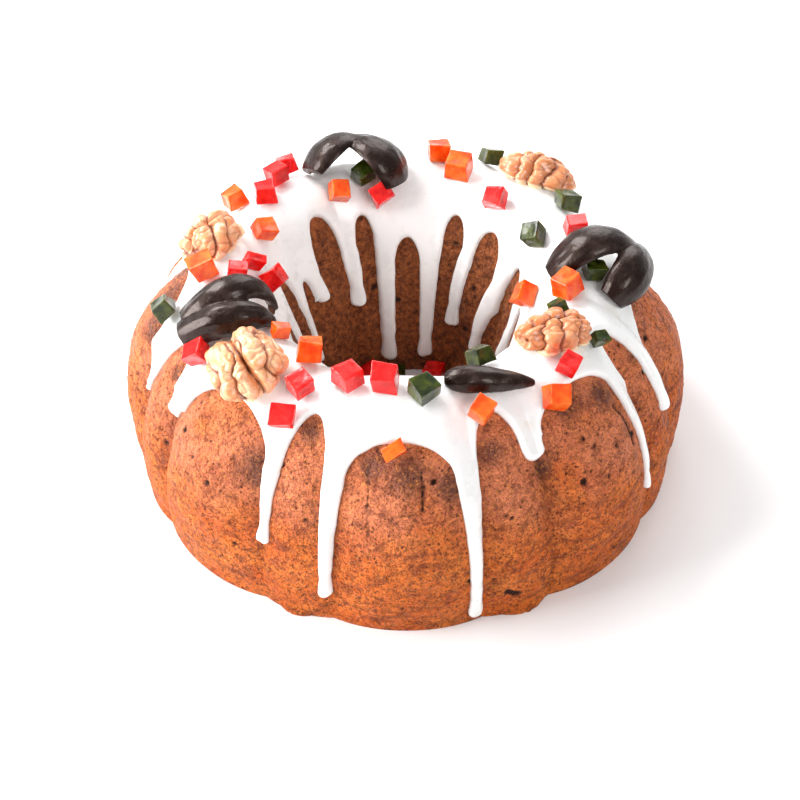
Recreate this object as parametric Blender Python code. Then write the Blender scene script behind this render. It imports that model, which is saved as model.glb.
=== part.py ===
"""A ring-shaped Christmas fruit cake under white icing, with walnuts, prunes and candied fruit on top.

Metres, Z up. The origin lies on the ring's axis, on the surface that the cake stands on.
Azimuths are in degrees, counter-clockwise from +X, and 270 is the front. A place on the ring is
an azimuth and an arc: the length along the ring's section from the outer foot, over the crest,
to the foot of the hole. A lift is a height above the crust, along the section's normal.
"""

import math
import random
from bisect import bisect_right
from collections import namedtuple

import bmesh
import bpy
from mathutils import Matrix, Vector
from mathutils.bvhtree import BVHTree
from mathutils.geometry import delaunay_2d_cdt

SEED = 2412

# The crust's section as (radius, height), from the outer foot over the crest to the foot of the hole.
OUTER_RADIUS = 0.107
CREST_RADIUS = 0.065
CREST_HEIGHT = 0.079
HOLE_RADIUS = 0.0345
SECTION_POINTS = (
    (OUTER_RADIUS - 0.0025, 0.0), (OUTER_RADIUS - 0.0004, 0.014), (OUTER_RADIUS - 0.0001, 0.030),
    (OUTER_RADIUS - 0.0035, 0.048), (0.0960, 0.0605), (0.0855, 0.0705), (0.0750, 0.0768),
    (CREST_RADIUS, CREST_HEIGHT), (0.0570, 0.0758), (0.0505, 0.0680), (0.0453, 0.0565),
    (0.0405, 0.0400), (0.0370, 0.0210), (HOLE_RADIUS, 0.0),
)
SECTION_STEPS = 16

# The mould has eight broad lobes with a narrow rib between each two, and a valley beside each rib.
LOBE_PITCH = 45.0
VALLEY_OFFSET = 15.0
LOBE_ROUNDNESS = 2.3
# Depth of the valleys and of the ribs' backs under the lobes' backs, as (arc, depth) along the section.
VALLEY_DEPTHS = ((0.0, 0.0010), (0.020, 0.0020), (0.050, 0.0047), (0.075, 0.0042), (0.095, 0.0014),
                 (0.105, 0.0010), (0.125, 0.0024), (0.160, 0.0026), (0.190, 0.0018))
RIB_SHARE = 0.42
FLAT_FOOT_HEIGHT = 0.020
CAKE_COLUMNS = 120
CAKE_ROWS = 24

# The batter that rose past the mould's rim left thin ledges at the foot: (azimuth, half width, reach).
FOOT_LEDGES = ((294.0, 5.0, 0.0022), (247.0, 3.5, 0.0016), (38.0, 6.0, 0.0018), (128.0, 4.0, 0.0015))

# The icing is a thin skin that hangs down in drips.
ICING_GAP = 0.0004
ICING_THICKNESS = 0.0019
ICING_EDGE_THICKNESS = 0.0009
ICING_COLUMNS = 60
ICING_BAND = (0.0720, 0.1420)
ICING_MARGIN = 0.0032
DRIP_SPACING = 0.0075
# A drip narrows fast under its shoulders and then runs nearly straight.
DRIP_TAPER = 2.2
ARCH_ROUNDNESS = 0.9
PLANE_RADIUS = 0.250
GAP_ROUNDS = 5
CDT_TOLERANCE = 1e-7

# A window is bare crust between two drips: left and right azimuth, arc of its arched end, arc where
# its sides turn straight.
Window = namedtuple("Window", "left right end shoulder")
# A drip runs down between a window and the next: azimuth and arc of its tip, and its width there.
Drip = namedtuple("Drip", "azimuth arc width")

OUTER_WINDOWS = (
    Window(197.5, 206.5, 0.0800, 0.066), Window(213.5, 238.0, 0.0805, 0.062),
    Window(242.0, 251.8, 0.0865, 0.062), Window(256.5, 280.3, 0.0805, 0.066),
    Window(286.0, 296.3, 0.0880, 0.068), Window(303.0, 325.3, 0.0845, 0.068),
    Window(331.2, 338.6, 0.0895, 0.070), Window(345.6, 374.0, 0.0830, 0.066),
    Window(377.5, 387.0, 0.0860, 0.064), Window(392.5, 417.5, 0.0800, 0.062),
    Window(422.5, 432.5, 0.0860, 0.066), Window(437.5, 463.0, 0.0810, 0.064),
    Window(467.5, 477.5, 0.0870, 0.066), Window(482.5, 507.5, 0.0800, 0.064),
    Window(512.5, 522.5, 0.0850, 0.064), Window(527.0, 550.5, 0.0770, 0.060),
)
# One drip after each outer window, on the right of it.
OUTER_DRIPS = (
    Drip(209.5, 0.0560, 0.0060), Drip(240.3, 0.0300, 0.0046), Drip(253.8, 0.0135, 0.0046),
    Drip(283.5, 0.0035, 0.0050), Drip(299.2, 0.0660, 0.0078), Drip(326.8, 0.0240, 0.0038),
    Drip(338.6, 0.0450, 0.0062), Drip(375.4, 0.0330, 0.0050), Drip(390.4, 0.0560, 0.0060),
    Drip(419.6, 0.0180, 0.0048), Drip(435.2, 0.0440, 0.0056), Drip(465.0, 0.0120, 0.0048),
    Drip(479.8, 0.0500, 0.0060), Drip(510.3, 0.0250, 0.0046), Drip(525.0, 0.0390, 0.0052),
    Drip(555.4, 0.0480, 0.0050),
)
INNER_WINDOWS = (
    Window(-2.0, 11.0, 0.1320, 0.146), Window(18.5, 31.0, 0.1245, 0.148),
    Window(38.5, 54.0, 0.1190, 0.136), Window(61.5, 71.0, 0.1180, 0.130),
    Window(82.0, 95.0, 0.1290, 0.143), Window(104.8, 113.8, 0.1185, 0.130),
    Window(122.5, 138.5, 0.1130, 0.134), Window(145.5, 151.8, 0.1330, 0.144),
    Window(158.5, 172.0, 0.1230, 0.140), Window(179.0, 189.0, 0.1310, 0.144),
    Window(196.0, 208.0, 0.1210, 0.137), Window(214.0, 232.0, 0.1170, 0.134),
    Window(240.0, 251.0, 0.1230, 0.138), Window(258.0, 278.0, 0.1180, 0.134),
    Window(286.0, 296.0, 0.1240, 0.138), Window(303.0, 323.0, 0.1180, 0.135),
    Window(331.0, 343.0, 0.1250, 0.140),
)
# One drip after each inner window.
INNER_DRIPS = (
    Drip(17.0, 0.1630, 0.0040), Drip(41.0, 0.1710, 0.0050), Drip(61.0, 0.1650, 0.0052),
    Drip(77.0, 0.1825, 0.0052), Drip(100.3, 0.1840, 0.0056), Drip(116.8, 0.1560, 0.0056),
    Drip(140.0, 0.1460, 0.0048), Drip(152.0, 0.1690, 0.0036), Drip(174.5, 0.1620, 0.0040),
    Drip(192.0, 0.1560, 0.0046), Drip(211.5, 0.1740, 0.0046), Drip(236.5, 0.1580, 0.0050),
    Drip(254.5, 0.1760, 0.0046), Drip(282.0, 0.1600, 0.0050), Drip(299.5, 0.1720, 0.0048),
    Drip(327.0, 0.1570, 0.0050), Drip(349.0, 0.1700, 0.0044),
)

# What lies on the cake keeps this much air under it.
REST_GAP = 0.0003
REST_STEP = 0.0002
# Past this slope towards X a topping is squared with the world's Y instead.
STEEP = 0.9

# Walnut halves: azimuth, arc, turn and lean in degrees, then length, width and height.
Walnut = namedtuple("Walnut", "name azimuth arc turn lean size")
WALNUTS = (
    Walnut("walnut_front_left", 224.5, 0.0900, 118.0, 0.0, (0.035, 0.031, 0.0130)),
    Walnut("walnut_left", 168.0, 0.0930, 38.0, 6.0, (0.031, 0.026, 0.0120)),
    Walnut("walnut_back_right", 47.0, 0.0905, -8.0, 0.0, (0.032, 0.024, 0.0130)),
    Walnut("walnut_front_right", 321.6, 0.0998, 14.0, -6.0, (0.030, 0.022, 0.0115)),
)
WALNUT_COLUMNS = 24
WALNUT_ROWS = 9
WALNUT_TILTS = (-32.0, 78.0)
WALNUT_CLEFT_WIDTH = 0.13
WALNUT_CLEFT_DEPTH = 0.24
WALNUT_FOLD_DEPTH = 0.15
WALNUT_FOLD_TURNS = 7.5
WALNUT_FOLD_SLANT = 3.0
# Share of its height that a walnut's widest line stands over the icing.
WALNUT_WAIST = 0.22

# A prune half is split lengthwise into curved strips. Each strip arches over a middle place between
# its two ends, and each place is an azimuth, an arc and a lift.
Strip = namedtuple("Strip", "start middle end width")
PRUNES = {
    "prune_back": (
        Strip((124.0, 0.0995, 0.0040), (115.5, 0.0975, 0.0085), (105.0, 0.0965, 0.0090), 0.0145),
        Strip((91.5, 0.1090, 0.0040), (97.0, 0.1030, 0.0085), (107.0, 0.0970, 0.0090), 0.0150),
    ),
    "prune_left": (
        Strip((197.0, 0.1165, 0.0040), (200.5, 0.1010, 0.0080), (200.5, 0.0845, 0.0050), 0.0130),
        Strip((212.0, 0.1090, 0.0035), (209.0, 0.0975, 0.0060), (202.5, 0.0810, 0.0045), 0.0120),
    ),
    "prune_right": (
        Strip((357.5, 0.1085, 0.0040), (360.5, 0.0975, 0.0115), (365.0, 0.0835, 0.0080), 0.0160),
        Strip((347.5, 0.0900, 0.0035), (355.0, 0.0865, 0.0095), (365.5, 0.0820, 0.0080), 0.0150),
    ),
    "prune_front": (
        Strip((281.5, 0.1000, 0.0045), (293.0, 0.0965, 0.0045), (305.5, 0.0905, 0.0030), 0.0120),
    ),
}
STRIP_THICKNESS = 0.0034
STRIP_RISE = 0.0058
STRIP_SPAN = (0.13, 0.80)
STRIP_FULLNESS = 0.7
STRIP_SIDE_SHARE = 0.6
STRIP_RINGS = 9
STRIP_ARC_POINTS = 5
WELD_DISTANCE = 0.00005

# Candied fruit is cut into dice: colour, azimuth, arc, turn in degrees, scale of length, width and height.
CANDY_EDGE = 0.0086
CANDY_JITTER = 0.0006
CANDY_LEAN = 8.0
CANDY_NUDGE = 0.0008
CANDY_NUDGES = 16
CANDY_WAYS = 12
Candy = namedtuple("Candy", "colour azimuth arc turn scale")
WHOLE = (1.0, 0.97, 0.86)
BIG = (1.17, 1.08, 1.05)
SMALL = (0.95, 0.86, 0.76)
CHIP = (0.75, 0.65, 0.68)
FLAT = (1.15, 0.95, 0.45)
SHRED = (1.05, 0.60, 0.40)
SLIVER = (0.95, 0.50, 0.60)
CANDIES = (
    Candy("orange", 146.8, 0.0890, 30.0, WHOLE), Candy("red", 142.0, 0.0985, 12.0, WHOLE),
    Candy("red", 133.0, 0.0945, 35.0, WHOLE), Candy("red", 127.5, 0.0930, 8.0, WHOLE),
    Candy("orange", 117.5, 0.1085, 5.0, WHOLE), Candy("green", 106.5, 0.1050, 40.0, WHOLE),
    Candy("red", 100.5, 0.1125, 32.0, WHOLE), Candy("orange", 79.0, 0.0950, 10.0, WHOLE),
    Candy("orange", 70.3, 0.1020, -18.0, BIG), Candy("green", 64.0, 0.0880, 20.0, WHOLE),
    Candy("red", 49.9, 0.1080, -20.0, WHOLE), Candy("green", 23.5, 0.1100, -12.0, WHOLE),
    Candy("green", 30.8, 0.0945, 20.0, WHOLE), Candy("red", 17.0, 0.0990, 3.0, WHOLE),
    Candy("orange", 157.5, 0.1060, 24.0, WHOLE), Candy("orange", 179.5, 0.0935, 22.0, BIG),
    Candy("red", 184.8, 0.1010, 4.0, SMALL), Candy("red", 176.0, 0.1070, 12.0, SLIVER),
    Candy("red", 178.0, 0.1115, -25.0, WHOLE), Candy("green", 189.8, 0.0780, 15.0, WHOLE),
    Candy("red", 208.5, 0.0830, -4.0, WHOLE), Candy("orange", 236.0, 0.1035, 6.0, BIG),
    Candy("red", 238.6, 0.0925, 33.0, WHOLE), Candy("red", 240.2, 0.0815, -8.0, FLAT),
    Candy("red", 253.0, 0.0985, 38.0, BIG), Candy("red", 263.0, 0.0990, -6.0, BIG),
    Candy("green", 274.9, 0.0960, 38.0, BIG), Candy("orange", 289.0, 0.0885, 52.0, WHOLE),
    Candy("orange", 267.0, 0.0775, 28.0, SHRED), Candy("green", 296.5, 0.1055, 42.0, SMALL),
    Candy("red", 315.6, 0.0910, 60.0, WHOLE), Candy("orange", 307.6, 0.0825, 2.0, WHOLE),
    Candy("orange", 345.6, 0.1035, 40.0, BIG), Candy("orange", 357.0, 0.1210, 48.0, WHOLE),
    Candy("green", 330.0, 0.0905, 20.0, CHIP), Candy("green", 335.5, 0.1040, 30.0, CHIP),
    Candy("green", 355.0, 0.0985, 10.0, SMALL), Candy("orange", 219.5, 0.1060, 35.0, SLIVER),
)
# Dice that slid down the hole lie at its foot: colour, azimuth, distance from the axis, turn, scale.
FallenCandy = namedtuple("FallenCandy", "colour azimuth radius turn scale")
FALLEN_CANDIES = (
    FallenCandy("red", 119.0, 0.0310, 24.0, WHOLE), FallenCandy("green", 97.5, 0.0275, 4.0, SMALL),
    FallenCandy("orange", 97.0, 0.0190, 10.0, CHIP), FallenCandy("red", 67.0, 0.0300, -14.0, WHOLE),
)

COLOURS = {
    "crust": (0.20, 0.066, 0.028), "icing": (0.86, 0.84, 0.80), "walnut": (0.66, 0.36, 0.17),
    "prune": (0.020, 0.011, 0.010), "red": (0.75, 0.03, 0.03), "orange": (0.88, 0.20, 0.03),
    "green": (0.07, 0.13, 0.02),
}
ROUGHNESS = {
    "crust": 0.85, "icing": 0.30, "walnut": 0.50, "prune": 0.22, "red": 0.15, "orange": 0.15, "green": 0.15,
}


def lerp(first, second, share):
    return first + (second - first) * share


def interpolate(table, position):
    """Value at a position in a table of (position, value) pairs, held level past its ends."""
    if position <= table[0][0]:
        return table[0][1]
    for (low, low_value), (high, high_value) in zip(table, table[1:]):
        if position <= high:
            return lerp(low_value, high_value, (position - low) / (high - low))
    return table[-1][1]


def section_curve():
    """Smooth curve through the section's points: (arc, radius, height) at even steps of its parameter."""
    points = [Vector(point) for point in SECTION_POINTS]
    padded = [2 * points[0] - points[1]] + points + [2 * points[-1] - points[-2]]
    curve = []
    for index in range(len(points) - 1):
        before, start, end, after = padded[index:index + 4]
        for step in range(SECTION_STEPS):
            t = step / SECTION_STEPS
            curve.append(0.5 * (2 * start + (end - before) * t
                                + (2 * before - 5 * start + 4 * end - after) * t ** 2
                                + (3 * start - before - 3 * end + after) * t ** 3))
    curve.append(points[-1])
    rows = []
    arc = 0.0
    for index, point in enumerate(curve):
        if index:
            arc += (point - curve[index - 1]).length
        rows.append((arc, point.x, point.y))
    return rows


SECTION = section_curve()
SECTION_ARCS = [row[0] for row in SECTION]
FULL_ARC = SECTION_ARCS[-1]


def section_at(arc):
    """Radius, height and outward normal (radial, vertical) of the section at an arc."""
    index = min(max(bisect_right(SECTION_ARCS, arc) - 1, 0), len(SECTION) - 2)
    low, high = SECTION[index], SECTION[index + 1]
    share = (arc - low[0]) / (high[0] - low[0])
    radius = lerp(low[1], high[1], share)
    height = lerp(low[2], high[2], share)
    ahead = SECTION[min(index + 2, len(SECTION) - 1)]
    behind = SECTION[max(index - 1, 0)]
    along = Vector((ahead[1] - behind[1], ahead[2] - behind[2])).normalized()
    return radius, height, along.y, -along.x


def flute_depth(azimuth, arc):
    """How far the fluted crust lies under the backs of the broad lobes."""
    angle = abs((azimuth + LOBE_PITCH / 2) % LOBE_PITCH - LOBE_PITCH / 2)
    valley = interpolate(VALLEY_DEPTHS, arc)
    if angle <= VALLEY_OFFSET:
        return valley * (angle / VALLEY_OFFSET) ** LOBE_ROUNDNESS
    from_rib = (LOBE_PITCH / 2 - angle) / (LOBE_PITCH / 2 - VALLEY_OFFSET)
    return valley * lerp(RIB_SHARE, 1.0, from_rib ** 2)


def surface(azimuth, arc, lift=0.0):
    """Point on the crust, or at a lift above it."""
    radius, height, normal_r, normal_z = section_at(arc)
    normal_z *= min(1.0, height / FLAT_FOOT_HEIGHT)
    offset = lift - flute_depth(azimuth, arc)
    radius += normal_r * offset
    height += normal_z * offset
    turn = math.radians(azimuth)
    return Vector((radius * math.cos(turn), radius * math.sin(turn), height))


def surface_normal(azimuth, arc):
    """Outward normal of the unfluted section at a place."""
    normal_r, normal_z = section_at(arc)[2:]
    turn = math.radians(azimuth)
    return Vector((normal_r * math.cos(turn), normal_r * math.sin(turn), normal_z))


def clear_scene():
    for item in list(bpy.data.objects):
        bpy.data.objects.remove(item, do_unlink=True)


def material(name):
    """Plain material of a named colour, made once."""
    if name in bpy.data.materials:
        return bpy.data.materials[name]
    made = bpy.data.materials.new(name)
    made.use_nodes = True
    shader = made.node_tree.nodes["Principled BSDF"]
    shader.inputs["Base Color"].default_value = (*COLOURS[name], 1.0)
    shader.inputs["Roughness"].default_value = ROUGHNESS[name]
    made.diffuse_color = (*COLOURS[name], 1.0)
    return made


def add_object(name, bm, colour):
    """Turn a bmesh into a smooth-shaded object with its faces pointing out."""
    bmesh.ops.recalc_face_normals(bm, faces=bm.faces)
    mesh = bpy.data.meshes.new(name)
    bm.to_mesh(mesh)
    bm.free()
    mesh.shade_smooth()
    mesh.set_sharp_from_angle(angle=math.radians(40))
    mesh.materials.append(material(colour))
    made = bpy.data.objects.new(name, mesh)
    bpy.context.scene.collection.objects.link(made)
    return made


def bridge(bm, lower, upper, closed=True):
    """Quads between two rows of vertices of the same count."""
    count = len(lower)
    for index in range(count if closed else count - 1):
        after = (index + 1) % count
        bm.faces.new((lower[index], lower[after], upper[after], upper[index]))


def foot_ledge(azimuth):
    """Reach of the thin ledges at the outer foot."""
    reach = 0.0
    for centre, half_width, full_reach in FOOT_LEDGES:
        away = abs((azimuth - centre + 180.0) % 360.0 - 180.0) / half_width
        if away < 1.0:
            reach = max(reach, full_reach * math.cos(away * math.pi / 2))
    return reach


def build_cake():
    """The baked ring: its fluted section swept round the axis, flat underneath."""
    bm = bmesh.new()
    rows = []
    for row in range(CAKE_ROWS):
        arc = FULL_ARC * row / (CAKE_ROWS - 1)
        ring = []
        for column in range(CAKE_COLUMNS):
            azimuth = 360.0 * column / CAKE_COLUMNS
            point = surface(azimuth, arc)
            if row == 0:
                point *= 1.0 + foot_ledge(azimuth) / OUTER_RADIUS
                point.z = 0.0
            ring.append(bm.verts.new(point))
        rows.append(ring)
    for lower, upper in zip(rows, rows[1:]):
        bridge(bm, lower, upper)
    bridge(bm, rows[-1], rows[0])
    bmesh.ops.triangulate(bm, faces=bm.faces)
    return add_object("cake", bm, "crust")


def arch_points(window, count=7):
    """Arched end of a window, as (azimuth, arc) from its left side to its right side."""
    centre = (window.left + window.right) / 2
    half = (window.right - window.left) / 2
    points = []
    for index in range(count):
        turn = math.pi * index / (count - 1)
        points.append((centre - half * math.cos(turn),
                       lerp(window.shoulder, window.end, math.sin(turn) ** ARCH_ROUNDNESS)))
    return points


def drip_taper(share):
    """How far a drip's side has drawn in towards its tip, at a share of the drip's length."""
    return 1.0 - (1.0 - share) ** DRIP_TAPER


def drip_points(window, drip, following):
    """Sides and round tip of the drip between two windows, from the first window to the next."""
    downward = 1.0 if drip.arc > window.shoulder else -1.0
    radius = section_at(drip.arc)[0]
    half_width = drip.width / 2
    half_angle = math.degrees(half_width / radius)
    neck = drip.arc - downward * half_width

    def side(start_azimuth, start_arc, end_azimuth):
        count = max(1, round(abs(neck - start_arc) / DRIP_SPACING))
        for index in range(1, count + 1):
            share = index / count
            yield lerp(start_azimuth, end_azimuth, drip_taper(share)), lerp(start_arc, neck, share)

    points = list(side(window.right, window.shoulder, drip.azimuth - half_angle))
    for turn in (-math.pi / 4, 0.0, math.pi / 4):
        reach = downward * half_width * math.cos(turn)
        points.append((drip.azimuth + half_angle * math.sin(turn), neck + reach))
    points += reversed(list(side(following.left, following.shoulder, drip.azimuth + half_angle)))
    return points


def outline(windows, drips):
    """Closed edge of the icing, as (azimuth, arc) points: each window, then the drip beside it."""
    points = []
    for index, (window, drip) in enumerate(zip(windows, drips)):
        following = windows[(index + 1) % len(windows)]
        if following.left < window.left:
            following = following._replace(left=following.left + 360.0, right=following.right + 360.0)
        points += arch_points(window)
        points += drip_points(window, drip, following)
    return points


def on_plane(place):
    """Spread the ring's skin flat: the outer foot runs along the rim, the hole round the middle."""
    azimuth, arc = place
    turn = math.radians(azimuth)
    return Vector(((PLANE_RADIUS - arc) * math.cos(turn), (PLANE_RADIUS - arc) * math.sin(turn)))


def off_plane(point):
    """Azimuth and arc of a point on the flat spread."""
    return math.degrees(math.atan2(point.y, point.x)), PLANE_RADIUS - point.length


def is_inside(point, loop):
    """Even-odd test of a point against a closed loop of plane points."""
    inside = False
    for first, second in zip(loop, loop[1:] + loop[:1]):
        if (first.y > point.y) != (second.y > point.y):
            crossing = first.x + (point.y - first.y) * (second.x - first.x) / (second.y - first.y)
            if point.x < crossing:
                inside = not inside
    return inside


def skin_places(edges):
    """Places inside the icing's edge: the middles of the drips, then the crust's own rows over the band."""
    places = []
    for windows, drips in ((OUTER_WINDOWS, OUTER_DRIPS), (INNER_WINDOWS, INNER_DRIPS)):
        for index, (window, drip) in enumerate(zip(windows, drips)):
            following = windows[(index + 1) % len(windows)]
            left = following.left + (360.0 if following.left < window.left else 0.0)
            top = ((window.right + left) / 2, (window.shoulder + following.shoulder) / 2)
            count = max(2, round(abs(drip.arc - top[1]) / DRIP_SPACING))
            for step in range(count):
                share = (step + 0.5) / count
                places.append((lerp(top[0], drip.azimuth, drip_taper(share)), lerp(top[1], drip.arc, share)))
    margins = [ICING_EDGE_THICKNESS] * len(places)
    for row in range(CAKE_ROWS):
        arc = FULL_ARC * row / (CAKE_ROWS - 1)
        if ICING_BAND[0] < arc < ICING_BAND[1]:
            places += [(360.0 * column / ICING_COLUMNS, arc) for column in range(ICING_COLUMNS)]
    margins += [ICING_MARGIN] * (len(places) - len(margins))
    kept = []
    for place, margin in zip(places, margins):
        point = surface(*place)
        if all((point - other).length > margin for other in edges + kept):
            kept.append(point)
            yield place


def clear_gaps(places, faces, crust):
    """Gap under each corner of the skin, widened where a flat facet would cut into the crust."""
    gaps = dict.fromkeys(places, ICING_GAP)
    shares = [(a / 4, b / 4, (4 - a - b) / 4) for a in range(5) for b in range(5 - a)]
    for _ in range(GAP_ROUNDS):
        short = {}
        for face in faces:
            corners = [surface(*places[index], gaps[index]) for index in face]
            for share in shares:
                point = sum((corner * part for corner, part in zip(corners, share)), Vector())
                spot, normal, _, _ = crust.find_nearest(point)
                missing = ICING_GAP / 2 - (point - spot).dot(normal)
                if missing > 0.0:
                    for index in face:
                        short[index] = max(short.get(index, 0.0), missing)
        for index, missing in short.items():
            gaps[index] += missing
    return gaps


def build_icing(crust):
    """The poured icing: one thin closed skin over the crest, whose edge hangs down in drips."""
    outer = outline(OUTER_WINDOWS, OUTER_DRIPS)
    inner = outline(INNER_WINDOWS, INNER_DRIPS)
    outer_loop = [on_plane(place) for place in outer]
    inner_loop = [on_plane(place) for place in inner]
    first_inner = len(outer)
    edge_count = first_inner + len(inner)
    inside = [on_plane(place) for place in skin_places([surface(*place) for place in outer + inner])]
    inside = [point for point in inside if is_inside(point, outer_loop) and not is_inside(point, inner_loop)]
    links = [(index, (index + 1) % len(outer)) for index in range(len(outer))]
    links += [(first_inner + index, first_inner + (index + 1) % len(inner)) for index in range(len(inner))]
    spread = outer_loop + inner_loop + inside
    points, _, faces, sources, _, _ = delaunay_2d_cdt(spread, links, [], 0, CDT_TOLERANCE)
    kept = []
    for face in faces:
        middle = sum((points[index] for index in face), Vector((0.0, 0.0))) / 3
        if is_inside(middle, outer_loop) and not is_inside(middle, inner_loop):
            kept.append(face)

    places = {index: off_plane(points[index]) for face in kept for index in face}
    gaps = clear_gaps(places, kept, crust)
    bm = bmesh.new()
    top = {}
    bottom = {}
    for index, (azimuth, arc) in places.items():
        on_edge = any(source < edge_count for source in sources[index])
        thickness = ICING_EDGE_THICKNESS if on_edge else ICING_THICKNESS
        top[index] = bm.verts.new(surface(azimuth, arc, gaps[index] + thickness))
        bottom[index] = bm.verts.new(surface(azimuth, arc, gaps[index]))
    for face in kept:
        bm.faces.new([top[index] for index in face])
        bm.faces.new([bottom[index] for index in reversed(face)])
    sides = {}
    for face in kept:
        for first, second in zip(face, face[1:] + face[:1]):
            if (second, first) in sides:
                del sides[(second, first)]
            else:
                sides[(first, second)] = True
    for first, second in sides:
        bm.faces.new((top[second], top[first], bottom[first], bottom[second]))
    bmesh.ops.triangulate(bm, faces=bm.faces)
    return add_object("icing", bm, "icing")


def tree_of(item):
    """Search tree of an object's faces in world space."""
    bm = bmesh.new()
    bm.from_mesh(item.data)
    bm.transform(item.matrix_world)
    tree = BVHTree.FromBMesh(bm)
    bm.free()
    return tree


def touches(bm, placed):
    """Whether a solid cuts any of the trees."""
    tree = BVHTree.FromBMesh(bm)
    return any(tree.overlap(other) for other in placed)


def settle(bm, direction, placed):
    """Raise a solid along a direction until it clears all that is placed already, and a little more."""
    step = direction.normalized() * REST_STEP
    while touches(bm, placed):
        bmesh.ops.translate(bm, verts=bm.verts, vec=step)
    bmesh.ops.translate(bm, verts=bm.verts, vec=direction.normalized() * REST_GAP)


def resting_frame(azimuth, arc, turn, lean, lift):
    """Frame on the icing whose X follows the world's X as far as the slope lets it, then turns and leans."""
    normal = surface_normal(azimuth, arc)
    across = Vector((1.0, 0.0, 0.0))
    if abs(normal.x) > STEEP:
        across = Vector((0.0, 1.0, 0.0))
    across = (across - normal * across.dot(normal)).normalized()
    frame = Matrix((across, normal.cross(across), normal)).transposed().to_4x4()
    place = Matrix.Translation(surface(azimuth, arc, lift)) @ frame
    return place @ Matrix.Rotation(math.radians(turn), 4, "Z") @ Matrix.Rotation(math.radians(lean), 4, "X")


def walnut_radius(direction, phase):
    """Share of a walnut half's full radius in a direction: a deep middle cleft and winding side folds."""
    cleft = math.exp(-(direction.y / WALNUT_CLEFT_WIDTH) ** 2) * max(0.0, direction.z) ** 0.5
    side = 1.0 if direction.y > 0 else -1.0
    winding = math.sin(WALNUT_FOLD_TURNS * direction.x + side * WALNUT_FOLD_SLANT * direction.z + phase)
    ridge = abs(winding) * lerp(0.4, 1.0, abs(direction.y))
    return 1.0 - WALNUT_CLEFT_DEPTH * cleft - WALNUT_FOLD_DEPTH * (1.0 - ridge)


def build_walnut(walnut, placed):
    """A walnut half, round side up."""
    bm = bmesh.new()
    phase = random.Random(SEED + len(walnut.name)).uniform(0.0, math.pi)
    half = Vector(walnut.size) / 2
    rows = []
    for row in range(WALNUT_ROWS):
        tilt = math.radians(lerp(*WALNUT_TILTS, row / (WALNUT_ROWS - 1)))
        ring = []
        for column in range(WALNUT_COLUMNS):
            turn = 2 * math.pi * column / WALNUT_COLUMNS
            level = math.cos(tilt)
            direction = Vector((level * math.cos(turn), level * math.sin(turn), math.sin(tilt)))
            point = direction * walnut_radius(direction, phase)
            height = point.z * (walnut.size[2] if point.z > 0 else half.z)
            ring.append(bm.verts.new((point.x * half.x, point.y * half.y, height)))
        rows.append(ring)
    for lower, upper in zip(rows, rows[1:]):
        bridge(bm, lower, upper)
    for ring in (rows[0], rows[-1]):
        middle = sum((vert.co for vert in ring), Vector()) / len(ring)
        cap = bm.verts.new(middle)
        for index, vert in enumerate(ring):
            bm.faces.new((vert, ring[(index + 1) % len(ring)], cap))
    bmesh.ops.triangulate(bm, faces=bm.faces)
    lift = ICING_GAP + ICING_THICKNESS + walnut.size[2] * WALNUT_WAIST
    frame = resting_frame(walnut.azimuth, walnut.arc, walnut.turn, walnut.lean, lift)
    bmesh.ops.transform(bm, matrix=frame, verts=bm.verts)
    settle(bm, surface_normal(walnut.azimuth, walnut.arc), placed)
    return add_object(walnut.name, bm, "walnut")


def strip_mesh(strip, centre):
    """One curved strip of prune: a hollow-backed shell that swells in the middle and narrows to its ends."""
    start, middle, end = (surface(*place) for place in (strip.start, strip.middle, strip.end))
    control = 2 * middle - (start + end) / 2
    bm = bmesh.new()
    rings = []
    for row in range(STRIP_RINGS):
        t = row / (STRIP_RINGS - 1)
        point = start * (1 - t) ** 2 + control * (2 * t * (1 - t)) + end * t ** 2
        along = ((control - start) * (1 - t) + (end - control) * t).normalized()
        out = point - centre
        out = (out - along * out.dot(along)).normalized()
        across = along.cross(out)
        swell = math.sin(math.pi * lerp(*STRIP_SPAN, t)) ** STRIP_FULLNESS
        half = strip.width / 2 * swell
        rise = STRIP_RISE * swell
        thickness = STRIP_THICKNESS * lerp(0.8, 1.0, swell)
        outer = []
        inner = []
        for index in range(STRIP_ARC_POINTS):
            turn = math.pi * index / (STRIP_ARC_POINTS - 1)
            outer.append(point - across * half * math.cos(turn) + out * rise * math.sin(turn))
        for index in range(STRIP_ARC_POINTS - 2, 0, -1):
            turn = math.pi * index / (STRIP_ARC_POINTS - 1)
            inner.append(point - across * (half - thickness * STRIP_SIDE_SHARE) * math.cos(turn)
                         + out * (rise * math.sin(turn) - thickness * math.sin(turn) ** 0.5))
        rings.append([bm.verts.new(spot) for spot in outer + inner])
    for lower, upper in zip(rings, rings[1:]):
        bridge(bm, lower, upper)
    for ring in (rings[0], rings[-1]):
        bm.faces.new(ring)
    bmesh.ops.recalc_face_normals(bm, faces=bm.faces)
    bmesh.ops.triangulate(bm, faces=bm.faces)
    return bm


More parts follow.
